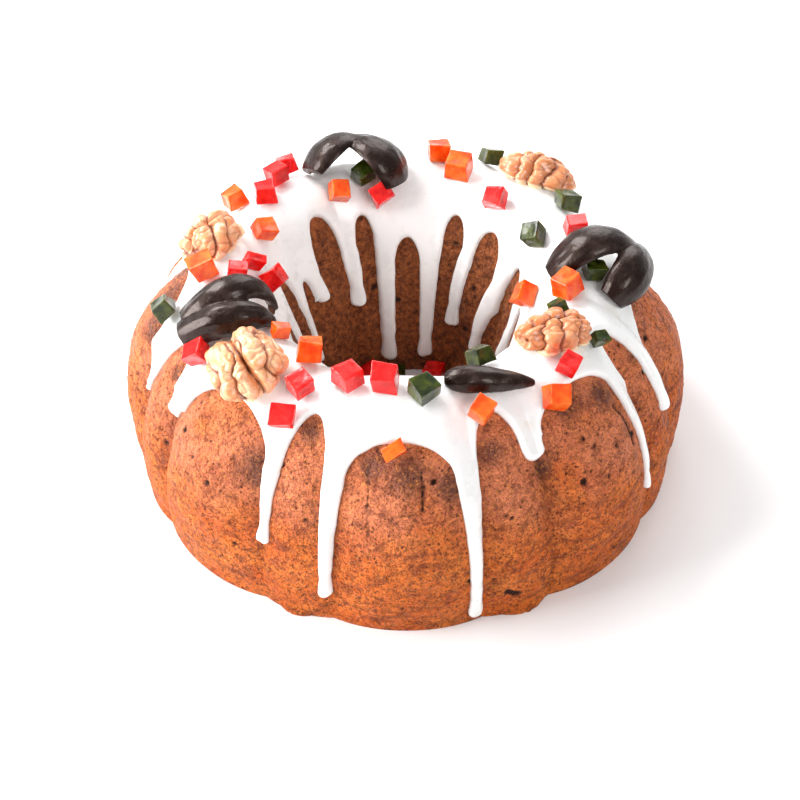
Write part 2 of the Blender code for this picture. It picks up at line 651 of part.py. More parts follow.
def build_prune(name, strips, placed):
    """A pitted prune cut open lengthwise: its strips joined where they meet, hollow side in."""
    feet = [surface(place[0], place[1]) for strip in strips for place in (strip.start, strip.end)]
    centre = sum(feet, Vector()) / len(feet)
    meshes = [strip_mesh(strip, centre) for strip in strips]
    prune = add_object(name, meshes[0], "prune")
    for bm in meshes[1:]:
        other = add_object(name + "_strip", bm, "prune")
        union = prune.modifiers.new("join", "BOOLEAN")
        union.operation = "UNION"
        union.object = other
        bpy.context.view_layer.update()
        evaluated = prune.evaluated_get(bpy.context.evaluated_depsgraph_get())
        joined = bpy.data.meshes.new_from_object(evaluated)
        prune.modifiers.remove(union)
        prune.data = joined
        bpy.data.objects.remove(other, do_unlink=True)
    bm = bmesh.new()
    bm.from_mesh(prune.data)
    bmesh.ops.remove_doubles(bm, verts=bm.verts, dist=WELD_DISTANCE)
    bmesh.ops.triangulate(bm, faces=bm.faces)
    middle = strips[0].middle
    settle(bm, surface_normal(middle[0], middle[1]), placed)
    bm.to_mesh(prune.data)
    bm.free()
    return prune


def nudged_places(azimuth, arc):
    """A place, then places round it, ever farther away."""
    yield azimuth, arc
    for ring in range(1, CANDY_NUDGES):
        for way in range(CANDY_WAYS):
            turn = 2 * math.pi * way / CANDY_WAYS
            sideways = ring * CANDY_NUDGE * math.cos(turn)
            along = ring * CANDY_NUDGE * math.sin(turn)
            yield azimuth + math.degrees(sideways / section_at(arc)[0]), arc + along


def cut_die(seed, scale):
    """A die of candied fruit about the origin, cut a little out of square, and its lean in degrees."""
    rng = random.Random(SEED * 10 + seed)
    die = bmesh.new()
    bmesh.ops.create_cube(die, size=CANDY_EDGE)
    bmesh.ops.transform(die, matrix=Matrix.Diagonal((*scale, 1.0)), verts=die.verts)
    for vert in die.verts:
        vert.co += Vector([rng.uniform(-CANDY_JITTER, CANDY_JITTER) for _ in range(3)])
    bmesh.ops.triangulate(die, faces=die.faces)
    return die, rng.uniform(-CANDY_LEAN, CANDY_LEAN)


def build_candy(number, candy, ground, neighbours):
    """A die of candied fruit on the icing, on the free place nearest to its own."""
    lift = ICING_GAP + CANDY_EDGE * candy.scale[2] / 2
    for azimuth, arc in nudged_places(candy.azimuth, candy.arc):
        die, lean = cut_die(number, candy.scale)
        frame = resting_frame(azimuth, arc, candy.turn, lean, lift)
        bmesh.ops.transform(die, matrix=frame, verts=die.verts)
        settle(die, surface_normal(azimuth, arc), ground)
        if not touches(die, neighbours):
            return add_object(f"candied_{candy.colour}_{number:02d}", die, candy.colour)
        die.free()
    raise ValueError(f"no free place near azimuth {candy.azimuth} for die {number}")


def build_fallen_candy(number, candy, placed):
    """A die that lies flat at the foot of the hole, drawn in from the wall until it is clear."""
    die, _ = cut_die(number, candy.scale)
    turn = Matrix.Rotation(math.radians(candy.turn), 4, "Z")
    outward = Matrix.Rotation(math.radians(candy.azimuth), 3, "Z") @ Vector((1.0, 0.0, 0.0))
    bmesh.ops.transform(die, matrix=Matrix.Translation(outward * candy.radius) @ turn, verts=die.verts)
    lowest = min(vert.co.z for vert in die.verts)
    bmesh.ops.translate(die, verts=die.verts, vec=(0.0, 0.0, REST_GAP - lowest))
    settle(die, -outward, placed)
    return add_object(f"candied_{candy.colour}_{number:02d}", die, candy.colour)


def main():
    clear_scene()
    crust = tree_of(build_cake())
    ground = [crust, tree_of(build_icing(crust))]
    toppings = []
    for walnut in WALNUTS:
        toppings.append(tree_of(build_walnut(walnut, ground + toppings)))
    for name, strips in PRUNES.items():
        toppings.append(tree_of(build_prune(name, strips, ground + toppings)))
    for number, candy in enumerate(CANDIES, 1):
        toppings.append(tree_of(build_candy(number, candy, ground, toppings)))
    for number, candy in enumerate(FALLEN_CANDIES, len(CANDIES) + 1):
        toppings.append(tree_of(build_fallen_candy(number, candy, ground + toppings)))


if __name__ == "__main__":
    main()
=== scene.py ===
"""A ring-shaped fruit cake for Christmas: browned crust, poured icing, walnuts, prunes and candied fruit.

Metres, Z up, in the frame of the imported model. A place on the ring is an azimuth in degrees,
counter-clockwise from +X with 270 at the front, and an arc: the length along the ring's section from
the outer foot, over the crest, to the foot of the hole. A lift is a height over the crust.
"""

import logging
import math
import random
from dataclasses import dataclass, field
from enum import Enum
from itertools import product
from typing import NamedTuple, Sequence

import bmesh
import bpy
import numpy as np
from mathutils import Matrix, Vector
from mathutils.bvhtree import BVHTree
from mathutils.geometry import delaunay_2d_cdt
from mathutils.kdtree import KDTree


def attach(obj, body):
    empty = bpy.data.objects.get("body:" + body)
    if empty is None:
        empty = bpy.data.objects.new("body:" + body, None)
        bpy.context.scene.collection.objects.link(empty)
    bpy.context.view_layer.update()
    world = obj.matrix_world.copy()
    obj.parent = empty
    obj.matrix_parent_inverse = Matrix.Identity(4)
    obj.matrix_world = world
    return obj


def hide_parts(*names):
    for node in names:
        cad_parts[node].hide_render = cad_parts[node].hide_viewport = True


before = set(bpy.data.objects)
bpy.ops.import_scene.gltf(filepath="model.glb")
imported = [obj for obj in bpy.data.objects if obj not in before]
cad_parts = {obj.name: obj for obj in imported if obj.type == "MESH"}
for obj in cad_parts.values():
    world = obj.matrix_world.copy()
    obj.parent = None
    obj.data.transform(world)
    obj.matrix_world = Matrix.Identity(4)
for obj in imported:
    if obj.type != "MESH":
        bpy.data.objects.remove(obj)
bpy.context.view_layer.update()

LOG = logging.getLogger("fruit_cake")
SEED = 2412
MM = 0.001
Colour = tuple[float, float, float]
Socket = bpy.types.NodeSocket
Place = tuple[float, float]

OUTER_RADIUS = 0.107
CREST_RADIUS = 0.065
CREST_HEIGHT = 0.079
HOLE_RADIUS = 0.0345
SECTION_POINTS = (
    (OUTER_RADIUS - 0.0025, 0.0), (OUTER_RADIUS - 0.0004, 0.014), (OUTER_RADIUS - 0.0001, 0.030),
    (OUTER_RADIUS - 0.0035, 0.048), (0.0960, 0.0605), (0.0855, 0.0705), (0.0750, 0.0768),
    (CREST_RADIUS, CREST_HEIGHT), (0.0570, 0.0758), (0.0505, 0.0680), (0.0453, 0.0565),
    (0.0405, 0.0400), (0.0370, 0.0210), (HOLE_RADIUS, 0.0),
)
VALLEY_DEPTHS = (
    (0.0, 0.0028), (0.020, 0.0050), (0.045, 0.0078), (0.062, 0.0068), (0.075, 0.0046), (0.095, 0.0014),
    (0.105, 0.0010), (0.125, 0.0024), (0.160, 0.0026), (0.190, 0.0018),
)


class Window(NamedTuple):
    """Bare crust between two drips.

    Left and right are the azimuths of its sides, end is the arc of its arched end, and shoulder is the
    arc where the sides turn straight.
    """

    left: float
    right: float
    end: float
    shoulder: float


class Drip(NamedTuple):
    """A drip between two windows.

    Azimuth and arc are those of its tip, width is the tip's, and thinned is how much thinner the neck is.
    """

    azimuth: float
    arc: float
    width: float
    thinned: float = 0.12


OUTER_WINDOWS = (
    Window(197.5, 206.5, 0.0800, 0.066), Window(213.5, 238.0, 0.0805, 0.062),
    Window(242.0, 251.8, 0.0865, 0.062), Window(256.5, 280.3, 0.0805, 0.066),
    Window(286.0, 296.3, 0.0880, 0.0705), Window(302.6, 325.3, 0.0845, 0.0740),
    Window(331.2, 338.6, 0.0895, 0.070), Window(345.6, 374.0, 0.0830, 0.066),
    Window(377.5, 387.0, 0.0860, 0.064), Window(392.5, 417.5, 0.0800, 0.062),
    Window(422.5, 432.5, 0.0860, 0.066), Window(437.5, 463.0, 0.0810, 0.064),
    Window(467.5, 477.5, 0.0870, 0.066), Window(482.5, 507.5, 0.0800, 0.064),
    Window(512.5, 522.5, 0.0850, 0.064), Window(526.5, 549.5, 0.0845, 0.064),
)
OUTER_DRIPS = (
    Drip(209.5, 0.0560, 0.0060), Drip(240.3, 0.0300, 0.0046), Drip(253.8, 0.0135, 0.0046),
    Drip(283.5, 0.0035, 0.0050, 0.05), Drip(299.2, 0.0660, 0.0078), Drip(326.8, 0.0240, 0.0040, 0.50),
    Drip(338.6, 0.0450, 0.0062), Drip(375.4, 0.0330, 0.0050), Drip(390.4, 0.0560, 0.0060),
    Drip(419.6, 0.0180, 0.0048), Drip(435.2, 0.0440, 0.0056), Drip(465.0, 0.0120, 0.0048),
    Drip(479.8, 0.0500, 0.0060), Drip(510.3, 0.0250, 0.0046), Drip(525.0, 0.0390, 0.0052),
    Drip(555.4, 0.0480, 0.0050),
)
INNER_WINDOWS = (
    Window(-2.0, 11.0, 0.1320, 0.146), Window(18.5, 31.0, 0.1245, 0.148),
    Window(38.5, 54.0, 0.1190, 0.136), Window(61.5, 71.0, 0.1180, 0.130),
    Window(82.0, 95.0, 0.1290, 0.143), Window(104.8, 113.8, 0.1185, 0.130),
    Window(122.5, 138.5, 0.1130, 0.134), Window(145.5, 151.8, 0.1330, 0.144),
    Window(158.5, 172.0, 0.1230, 0.140), Window(179.0, 189.0, 0.1310, 0.144),
    Window(196.0, 208.0, 0.1210, 0.137), Window(214.0, 232.0, 0.1170, 0.134),
    Window(240.0, 251.0, 0.1230, 0.138), Window(258.0, 278.0, 0.1180, 0.134),
    Window(286.0, 296.0, 0.1240, 0.138), Window(303.0, 323.0, 0.1180, 0.135),
    Window(331.0, 343.0, 0.1250, 0.140),
)
INNER_DRIPS = (
    Drip(17.0, 0.1630, 0.0040), Drip(41.0, 0.1710, 0.0050), Drip(61.0, 0.1650, 0.0052),
    Drip(77.0, 0.1825, 0.0052), Drip(100.3, 0.1840, 0.0056), Drip(116.8, 0.1560, 0.0056),
    Drip(140.0, 0.1460, 0.0048), Drip(152.0, 0.1690, 0.0036), Drip(174.5, 0.1620, 0.0040),
    Drip(192.0, 0.1560, 0.0046), Drip(211.5, 0.1740, 0.0046), Drip(236.5, 0.1580, 0.0050),
    Drip(254.5, 0.1760, 0.0046), Drip(282.0, 0.1600, 0.0050), Drip(299.5, 0.1720, 0.0048),
    Drip(327.0, 0.1570, 0.0050), Drip(349.0, 0.1700, 0.0044),
)


CELL_PRIMES = (73856093, 19349663, 83492791)
SEED_PRIME = 2654435761
SCRAMBLES = ((15, 2246822519), (13, 3266489917))
WORD = 0xFFFFFFFF


def lattice_noise(points: np.ndarray, size: float, seed: int) -> np.ndarray:
    """Smooth noise, about -1 to 1, at each of many points.

    Args:
        points: rows of x, y, z in metres.
        size: distance between bumps in metres.
        seed: number of the pattern.

    Returns:
        One value for each point.
    """
    spots = points / size + seed * 0.731
    cell = np.floor(spots).astype(np.int64)
    part = spots - cell
    ease = part ** 3 * (part * (part * 6 - 15) + 10)
    total = np.zeros(len(points))
    for corner in product((0, 1), repeat=3):
        key = cell + corner
        mix = seed * SEED_PRIME
        for axis, prime in enumerate(CELL_PRIMES):
            mix = mix ^ key[:, axis] * prime
        for shift, factor in SCRAMBLES:
            mix = (mix ^ (mix >> shift)) * factor & WORD
        mix ^= mix >> 16
        slopes = np.stack([mix & 1023, (mix >> 10) & 1023, (mix >> 20) & 1023], axis=1) / 511.5 - 1.0
        weights = np.prod(np.where(corner, ease, 1.0 - ease), axis=1)
        total += weights * np.sum(slopes * (part - corner), axis=1)
    return total * 1.5


def layered_noise(points: np.ndarray, size: float, seed: int, layers: int = 3) -> np.ndarray:
    """Sum of noises, each of half the size and half the strength of the one before.

    Args:
        points: rows of x, y, z in metres.
        size: bump distance of the first layer in metres.
        seed: number of the pattern.
        layers: how many noises are added.

    Returns:
        One value for each point, about -1 to 1.
    """
    total = sum(lattice_noise(points, size / 2 ** layer, seed + layer) / 2 ** layer
                for layer in range(layers))
    return total / (2 - 2 ** (1 - layers))


class Wave(NamedTuple):
    """Noise relief: bump distance in metres, number of its pattern, layers, and height in millimetres."""

    size: float
    seed: int
    layers: int
    height: float

    def at(self, points: np.ndarray) -> np.ndarray:
        """Heights at points, in metres."""
        return layered_noise(points, self.size, self.seed, self.layers) * self.height * MM


def smooth_share(values: np.ndarray, low: float, high: float) -> np.ndarray:
    """Rises smoothly from 0 at low to 1 at high.

    Args:
        values: the numbers to grade.
        low: value that gives 0.
        high: value that gives 1, which may be under low.

    Returns:
        One share for each value.
    """
    share = np.clip((values - low) / (high - low), 0.0, 1.0)
    return share * share * (3 - 2 * share)


def add_piece(name: str, points: np.ndarray, faces: Sequence, material: bpy.types.Material,
              marks: dict[str, np.ndarray] | None = None) -> bpy.types.Object:
    """Add a smooth-shaded mesh to the scene.

    Args:
        name: the piece's name.
        points: rows of x, y, z in metres.
        faces: corner indices of each face.
        material: the finish.
        marks: named values for each point that the finish reads.

    Returns:
        The new object.
    """
    mesh = bpy.data.meshes.new(name)
    mesh.from_pydata(points.tolist(), [], faces.tolist() if isinstance(faces, np.ndarray) else faces)
    for mark, values in (marks or {}).items():
        mesh.attributes.new(mark, "FLOAT", "POINT").data.foreach_set("value", values.astype(np.float32))
    mesh.shade_smooth()
    mesh.materials.append(material)
    mesh.update()
    piece = bpy.data.objects.new(name, mesh)
    bpy.context.scene.collection.objects.link(piece)
    return piece


def settle_piece(piece: bpy.types.Object, node: str) -> bpy.types.Object:
    """Let a piece stand for a node of the model, and report it.

    Args:
        piece: the finished object.
        node: name of the node that it replaces.

    Returns:
        The same object.
    """
    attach(piece, "root")
    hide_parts(node)
    LOG.info("%s: %d faces, stands for %s", piece.name, len(piece.data.polygons), node)
    return piece


def node_points(node: str) -> np.ndarray:
    """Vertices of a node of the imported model, as rows."""
    return np.array([vert.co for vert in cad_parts[node].data.vertices])


def move_to_node(points: np.ndarray, node: str, coarse: np.ndarray | None = None) -> np.ndarray:
    """Shift points so that their box has the same middle as a node's.

    Args:
        points: the points to move.
        node: name of the node.
        coarse: the same form as the node shows it, whose box is measured instead.

    Returns:
        The moved points.
    """
    solid = node_points(node)
    measured = points if coarse is None else coarse
    goal = (solid.min(0) + solid.max(0)) / 2
    return points + goal - (measured.min(0) + measured.max(0)) / 2


def tree_of(points: np.ndarray) -> KDTree:
    """Search tree in which each point is known by its row.

    Args:
        points: rows of x, y, z.

    Returns:
        The tree, ready for searches.
    """
    tree = KDTree(len(points))
    for index, point in enumerate(points):
        tree.insert(point, index)
    tree.balance()
    return tree


def quads_between(base: int, rows: int, count: int) -> list[tuple[int, ...]]:
    """Quads between closed rows of points.

    Args:
        base: number of the first row's first point.
        rows: how many rows there are.
        count: how many points a row has.

    Returns:
        Corner indices of each quad.
    """
    faces = []
    for low in range(base, base + (rows - 1) * count, count):
        faces += [(low + c, low + (c + 1) % count, low + count + (c + 1) % count, low + count + c)
                  for c in range(count)]
    return faces


class Pattern(NamedTuple):
    """Graded noise: bump distance in metres, layers and strength of the finer ones.

    Noise from low to high gives results from start to end.
    """

    size: float
    detail: float
    roughness: float
    low: float
    high: float
    start: float = 0.0
    end: float = 1.0


class Specks(NamedTuple):
    """Round specks in clusters: spacing in metres, and the shares of it where they are full and gone."""

    spacing: float
    full: float
    gone: float
    clusters: Pattern


class FineRelief(NamedTuple):
    """Relief too fine for a mesh: bump distance, layers, strength of the finer ones, and depth in metres."""

    size: float
    detail: float
    roughness: float
    depth: float


class Glow(NamedTuple):
    """Light that spreads under a surface: its share, how far each colour goes, and the reach in metres."""

    share: float
    colours: Colour
    reach: float


class Coat(NamedTuple):
    """Clear gloss over a surface: its share and its roughness."""

    share: float
    roughness: float


class Finish:
    """A material's node tree, filled node by node."""

    def __init__(self, name: str) -> None:
        """Start a material with a plain shader.

        Args:
            name: the material's name.
        """
        self.material = bpy.data.materials.new(name)
        self.material.use_nodes = True
        self.tree = self.material.node_tree
        self.shader = self.tree.nodes["Principled BSDF"]
        self.spot = self.tree.nodes.new("ShaderNodeTexCoord").outputs["Object"]

    def feed(self, target: Socket, value: Socket | float | Colour) -> None:
        """Link or set an input.

        Args:
            target: the input.
            value: another node's output, a number or a colour.
        """
        if isinstance(value, bpy.types.NodeSocket):
            self.tree.links.new(value, target)
        elif isinstance(value, tuple) and target.type == "RGBA":
            target.default_value = (*value, 1.0)
        else:
            target.default_value = value

    def surface(self, **values: Socket | float | Colour) -> None:
        """Set the shader's inputs, named with underscores for spaces."""
        for name, value in values.items():
            self.feed(self.shader.inputs[name.replace("_", " ")], value)

    def glow(self, glow: Glow) -> None:
        """Let light spread under the surface."""
        self.surface(Subsurface_Weight=glow.share, Subsurface_Radius=glow.colours,
                     Subsurface_Scale=glow.reach)

    def coat(self, coat: Coat) -> None:
        """Lay a clear gloss over the surface."""
        self.surface(Coat_Weight=coat.share, Coat_Roughness=coat.roughness)

    def noise(self, size: float, detail: float, roughness: float, distortion: float = 0.0) -> Socket:
        """Noise texture.

        Args:
            size: bump distance in metres.
            detail: layers of finer noise.
            roughness: strength of the finer layers.
            distortion: how far the pattern is bent.

        Returns:
            The value from 0 to 1.
        """
        made = self.tree.nodes.new("ShaderNodeTexNoise")
        for name, number in (("Scale", 1.0 / size), ("Detail", detail), ("Roughness", roughness),
                             ("Distortion", distortion)):
            made.inputs[name].default_value = number
        self.feed(made.inputs["Vector"], self.spot)
        return made.outputs["Fac"]

    def cells(self, size: float) -> Socket:
        """Distance to the nearest of scattered points.

        Args:
            size: how far apart the points lie in metres.

        Returns:
            The distance as a share of the size.
        """
        made = self.tree.nodes.new("ShaderNodeTexVoronoi")
        made.inputs["Scale"].default_value = 1.0 / size
        self.feed(made.inputs["Vector"], self.spot)
        return made.outputs["Distance"]

    def mark(self, name: str) -> Socket:
        """A value that the mesh carries at each point.

        Args:
            name: the mark's name.

        Returns:
            The value.
        """
        made = self.tree.nodes.new("ShaderNodeAttribute")
        made.attribute_name = name
        return made.outputs["Fac"]

    def grade(self, value: Socket, low: float, high: float, start: float = 0.0, end: float = 1.0) -> Socket:
        """Map a range of values to another, held level past its ends.

        Args:
            value: what is read.
            low: value that gives start.
            high: value that gives end.
            start: first result.
            end: last result.

        Returns:
            The mapped value.
        """
        made = self.tree.nodes.new("ShaderNodeMapRange")
        for name, number in (("From Min", low), ("From Max", high), ("To Min", start), ("To Max", end)):
            made.inputs[name].default_value = number
        self.feed(made.inputs["Value"], value)
        return made.outputs["Result"]

    def pattern(self, pattern: Pattern) -> Socket:
        """Value of a pattern."""
        return self.grade(self.noise(*pattern[:3]), *pattern[3:])

    def specks(self, specks: Specks) -> Socket:
        """Share of the specks, 1 in their middles."""
        spots = self.grade(self.cells(specks.spacing), specks.full, specks.gone, 1.0, 0.0)
        return self.sums("MULTIPLY", spots, self.pattern(specks.clusters))

    def mix(self, share: Socket | float, first: Socket | Colour, second: Socket | Colour) -> Socket:
        """Blend two colours.

        Args:
            share: how much of the second is taken.
            first: colour at share 0.
            second: colour at share 1.

        Returns:
            The blended colour.
        """
        made = self.tree.nodes.new("ShaderNodeMix")
        made.data_type = "RGBA"
        self.feed(made.inputs["Factor"], share)
        self.feed(made.inputs[6], first)
        self.feed(made.inputs[7], second)
        return made.outputs[2]

    def layer(self, under: Socket, share: Socket, strength: Socket | float, colour: Colour) -> Socket:
        """Lay a colour over another.

        Args:
            under: the colour under it.
            share: where it lies.
            strength: how much of it shows where the share is 1.
            colour: the colour on top.

        Returns:
            The blended colour.
        """
        return self.mix(self.sums("MULTIPLY", share, strength), under, colour)

    def sums(self, operation: str, first: Socket | float, second: Socket | float) -> Socket:
        """Arithmetic on two values.

        Args:
            operation: Blender's name of the operation.
            first: the first value.
            second: the second value.

        Returns:
            The result.
        """
        made = self.tree.nodes.new("ShaderNodeMath")
        made.operation = operation
        self.feed(made.inputs[0], first)
        self.feed(made.inputs[1], second)
        return made.outputs[0]

    def bump(self, height: Socket, depth: float, under: Socket | None = None) -> Socket:
        """Small relief.

        Args:
            height: the relief from 0 to 1.
            depth: what 1 stands for, in metres.
            under: a coarser bump that this one lies on.

        Returns:
            The bent normal.
        """
        made = self.tree.nodes.new("ShaderNodeBump")
        made.inputs["Distance"].default_value = depth
        self.feed(made.inputs["Height"], height)
        if under:
            self.feed(made.inputs["Normal"], under)
        return made.outputs["Normal"]

    def fine_relief(self, relief: FineRelief, under: Socket | None = None) -> Socket:
        """Normal bent by noise relief, over a coarser one where there is one."""
        return self.bump(self.noise(*relief[:3]), relief.depth, under)


@dataclass(frozen=True)
class CrustFinish:
    """Baked crust: orange-brown outside, darker and crumbly down the hole, with painted shade in its pits,
    cracks, wrinkle grooves and flute valleys, and a pinkish grey over its upper part that is partly painted
    sheen.
    """

    golden: Colour = (0.94, 0.235, 0.036)
    baked: Colour = (0.74, 0.122, 0.008)
    toasted: Colour = (1.00, 0.340, 0.075)
    # Dark brown of the freckles and grain, also laid as painted shade in the flute valleys and the wrinkle
    # grooves.
    scorch_and_shade: Colour = (0.150, 0.023, 0.006)
    # Pinkish grey of the upper crust, partly painted sheen.
    shoulder: Colour = (0.82, 0.245, 0.118)
    soot: Colour = (0.105, 0.038, 0.028)
    crumb: Colour = (0.150, 0.036, 0.009)
    crumb_light: Colour = (0.52, 0.150, 0.042)
    # Near-black laid as painted shade in the pores, pricks, craters and cracks.
    pit_shade: Colour = (0.035, 0.008, 0.003)
    patches: Pattern = Pattern(0.014, 4, 0.6, 0.36, 0.66)
    freckles: Pattern = Pattern(0.0042, 5, 0.74, 0.48, 0.62)
    grain: Pattern = Pattern(0.0012, 4, 0.72, 0.51, 0.63)
    pale_grain: Pattern = Pattern(0.0013, 3, 0.66, 0.34, 0.48, 1.0, 0.0)
    crumbs: Pattern = Pattern(0.0024, 4, 0.70, 0.36, 0.68)
    pores: Specks = Specks(0.0027, 0.10, 0.21, Pattern(0.007, 2, 0.5, 0.47, 0.56))
    pricks: Specks = Specks(0.0015, 0.10, 0.24, Pattern(0.004, 2, 0.5, 0.40, 0.60, 0.0, 0.7))
    # Strength of the pinkish grey on the upper crust, partly painted sheen.
    shoulder_sheen_strength: float = 0.85
    # Strength of the painted shade in the flute valleys.
    valley_shade_strength: float = 0.38
    freckle_strength: float = 0.62
    # Shoulder marks that the grain's strength is graded between, then the strengths there.
    grain_strength: tuple[float, float, float, float] = (0.2, 1.0, 0.85, 0.50)
    pale_grain_strength: float = 0.45
    # Strength of the painted shade in the wrinkles' grooves.
    wrinkle_shade_strength: float = 0.50
    # Strength of the painted shade in the pores and pricks.
    pore_shade_strength: float = 0.72
    # Depths in millimetres at which a dent starts to darken with painted shade and is all dark.
    dark_dents: tuple[float, float] = (0.08, 0.50)
    roughness: Pattern = Pattern(0.007, 3, 0.5, 0.35, 0.65, 0.46, 0.70)
    gloss_strength: float = 0.20
    specular: float = 0.26
    coarse: FineRelief = FineRelief(0.0034, 4, 0.70, 0.0040)
    fine: FineRelief = FineRelief(0.0016, 3, 0.6, 0.0020)
    pore_height: float = -0.0010

    def material(self) -> bpy.types.Material:
        """Build the material, which reads the marks dent, wrinkle, valley, hole, shoulder, soot and gloss.

        Returns:
            The material.
        """
        made = Finish("baked_crust")
        outside = made.mix(made.pattern(self.patches), self.baked, self.golden)
        # Partly painted sheen: a pinkish grey laid over the upper crust.
        outside = made.layer(outside, made.mark("shoulder"), self.shoulder_sheen_strength, self.shoulder)
        # Painted shade in the flute valleys, darkest where they are deepest.
        outside = made.layer(outside, made.mark("valley"), self.valley_shade_strength, self.scorch_and_shade)
        outside = made.mix(made.mark("soot"), outside, self.soot)
        outside = made.layer(outside, made.pattern(self.freckles), self.freckle_strength, self.scorch_and_shade)
        strength = made.grade(made.mark("shoulder"), *self.grain_strength)
        outside = made.layer(outside, made.pattern(self.grain), strength, self.scorch_and_shade)
        outside = made.layer(outside, made.pattern(self.pale_grain), self.pale_grain_strength, self.toasted)
        # Painted shade in the wrinkles' grooves.
        outside = made.layer(outside, made.mark("wrinkle"), self.wrinkle_shade_strength, self.scorch_and_shade)
        inside = made.mix(made.pattern(self.crumbs), self.crumb, self.crumb_light)
        colour = made.mix(made.mark("hole"), outside, inside)
        # Painted shade: dents darker the deeper they are.
        colour = made.mix(made.grade(made.mark("dent"), *self.dark_dents), colour, self.pit_shade)
        # Painted shade in the pores and pricks, which the bump also sinks.
        pores = made.sums("MAXIMUM", made.specks(self.pores), made.specks(self.pricks))
        colour = made.layer(colour, pores, self.pore_shade_strength, self.pit_shade)
        gloss = made.sums("MULTIPLY", made.mark("gloss"), self.gloss_strength)
        rough = made.sums("SUBTRACT", made.pattern(self.roughness), gloss)
        made.surface(Base_Color=colour, Roughness=rough, Specular_IOR_Level=self.specular)
        relief = made.fine_relief(self.fine, made.fine_relief(self.coarse))
        made.surface(Normal=made.bump(pores, self.pore_height, relief))
        return made.material


@dataclass(frozen=True)
class IcingFinish:
    """Set sugar icing: opaque satin white with faint cream and fruit-juice stains."""

    white: Colour = (0.922, 0.930, 0.922)
    shade: Colour = (0.88, 0.86, 0.84)
    cream: Colour = (0.86, 0.74, 0.50)
    juice: Colour = (0.88, 0.45, 0.22)
    veil: Pattern = Pattern(0.020, 2, 0.5, 0.45, 0.8, 0.0, 0.18)
    roughness: Pattern = Pattern(0.006, 2, 0.5, 0.35, 0.65, 0.24, 0.36)
    glow: Glow = Glow(0.35, (1.0, 0.95, 0.90), 0.0016)
    coat: Coat = Coat(0.12, 0.18)
    waves: FineRelief = FineRelief(0.0028, 2, 0.5, 0.00010)
    bubbles: Specks = Specks(0.0045, 0.03, 0.075, Pattern(0.012, 1, 0.5, 0.58, 0.64))
    bubble_height: float = -0.00015

    def material(self) -> bpy.types.Material:
        """Build the material, which reads the marks cream and juice.

        Returns:
            The material.
        """
        made = Finish("poured_icing")
        colour = made.mix(made.pattern(self.veil), self.white, self.shade)
        colour = made.mix(made.mark("cream"), colour, self.cream)
        colour = made.mix(made.mark("juice"), colour, self.juice)
        made.surface(Base_Color=colour, Roughness=made.pattern(self.roughness))
        made.glow(self.glow)
        made.coat(self.coat)
        waves = made.fine_relief(self.waves)
        made.surface(Normal=made.bump(made.specks(self.bubbles), self.bubble_height, waves))
        return made.material


class CandyColour(Enum):
    """Colours of the candied fruit, as deep and pale shades."""

    RED = ((0.60, 0.001, 0.002), (0.96, 0.022, 0.018))
    ORANGE = ((0.86, 0.062, 0.001), (1.00, 0.185, 0.016))
    GREEN = ((0.010, 0.021, 0.0008), (0.066, 0.086, 0.004))


@dataclass(frozen=True)
class CandyFinish:
    """Candied fruit: clear firm jelly with cloudy patches and a sugary gloss."""

    clouds: Pattern = Pattern(0.0052, 2, 0.6, 0.38, 0.66)
    roughness: Pattern = Pattern(0.003, 2, 0.5, 0.3, 0.7, 0.13, 0.29)
    glow: Glow = Glow(0.55, (1.0, 0.5, 0.3), 0.0032)
    coat: Coat = Coat(0.26, 0.09)
    clearness: float = 0.05
    specular: float = 0.35
    refraction: float = 1.46
    sugar: FineRelief = FineRelief(0.0016, 3, 0.55, 0.00016)

    def material(self, colour: CandyColour) -> bpy.types.Material:
        """Build the material of one colour.

        Args:
            colour: which fruit it is.

        Returns:
            The material.
        """
        made = Finish("candied_" + colour.name.lower())
        made.surface(Base_Color=made.mix(made.pattern(self.clouds), *colour.value))
        made.surface(Roughness=made.pattern(self.roughness), Transmission_Weight=self.clearness)
        made.surface(Specular_IOR_Level=self.specular, IOR=self.refraction)
        made.glow(self.glow)
        made.coat(self.coat)
        made.surface(Normal=made.fine_relief(self.sugar))
        return made.material


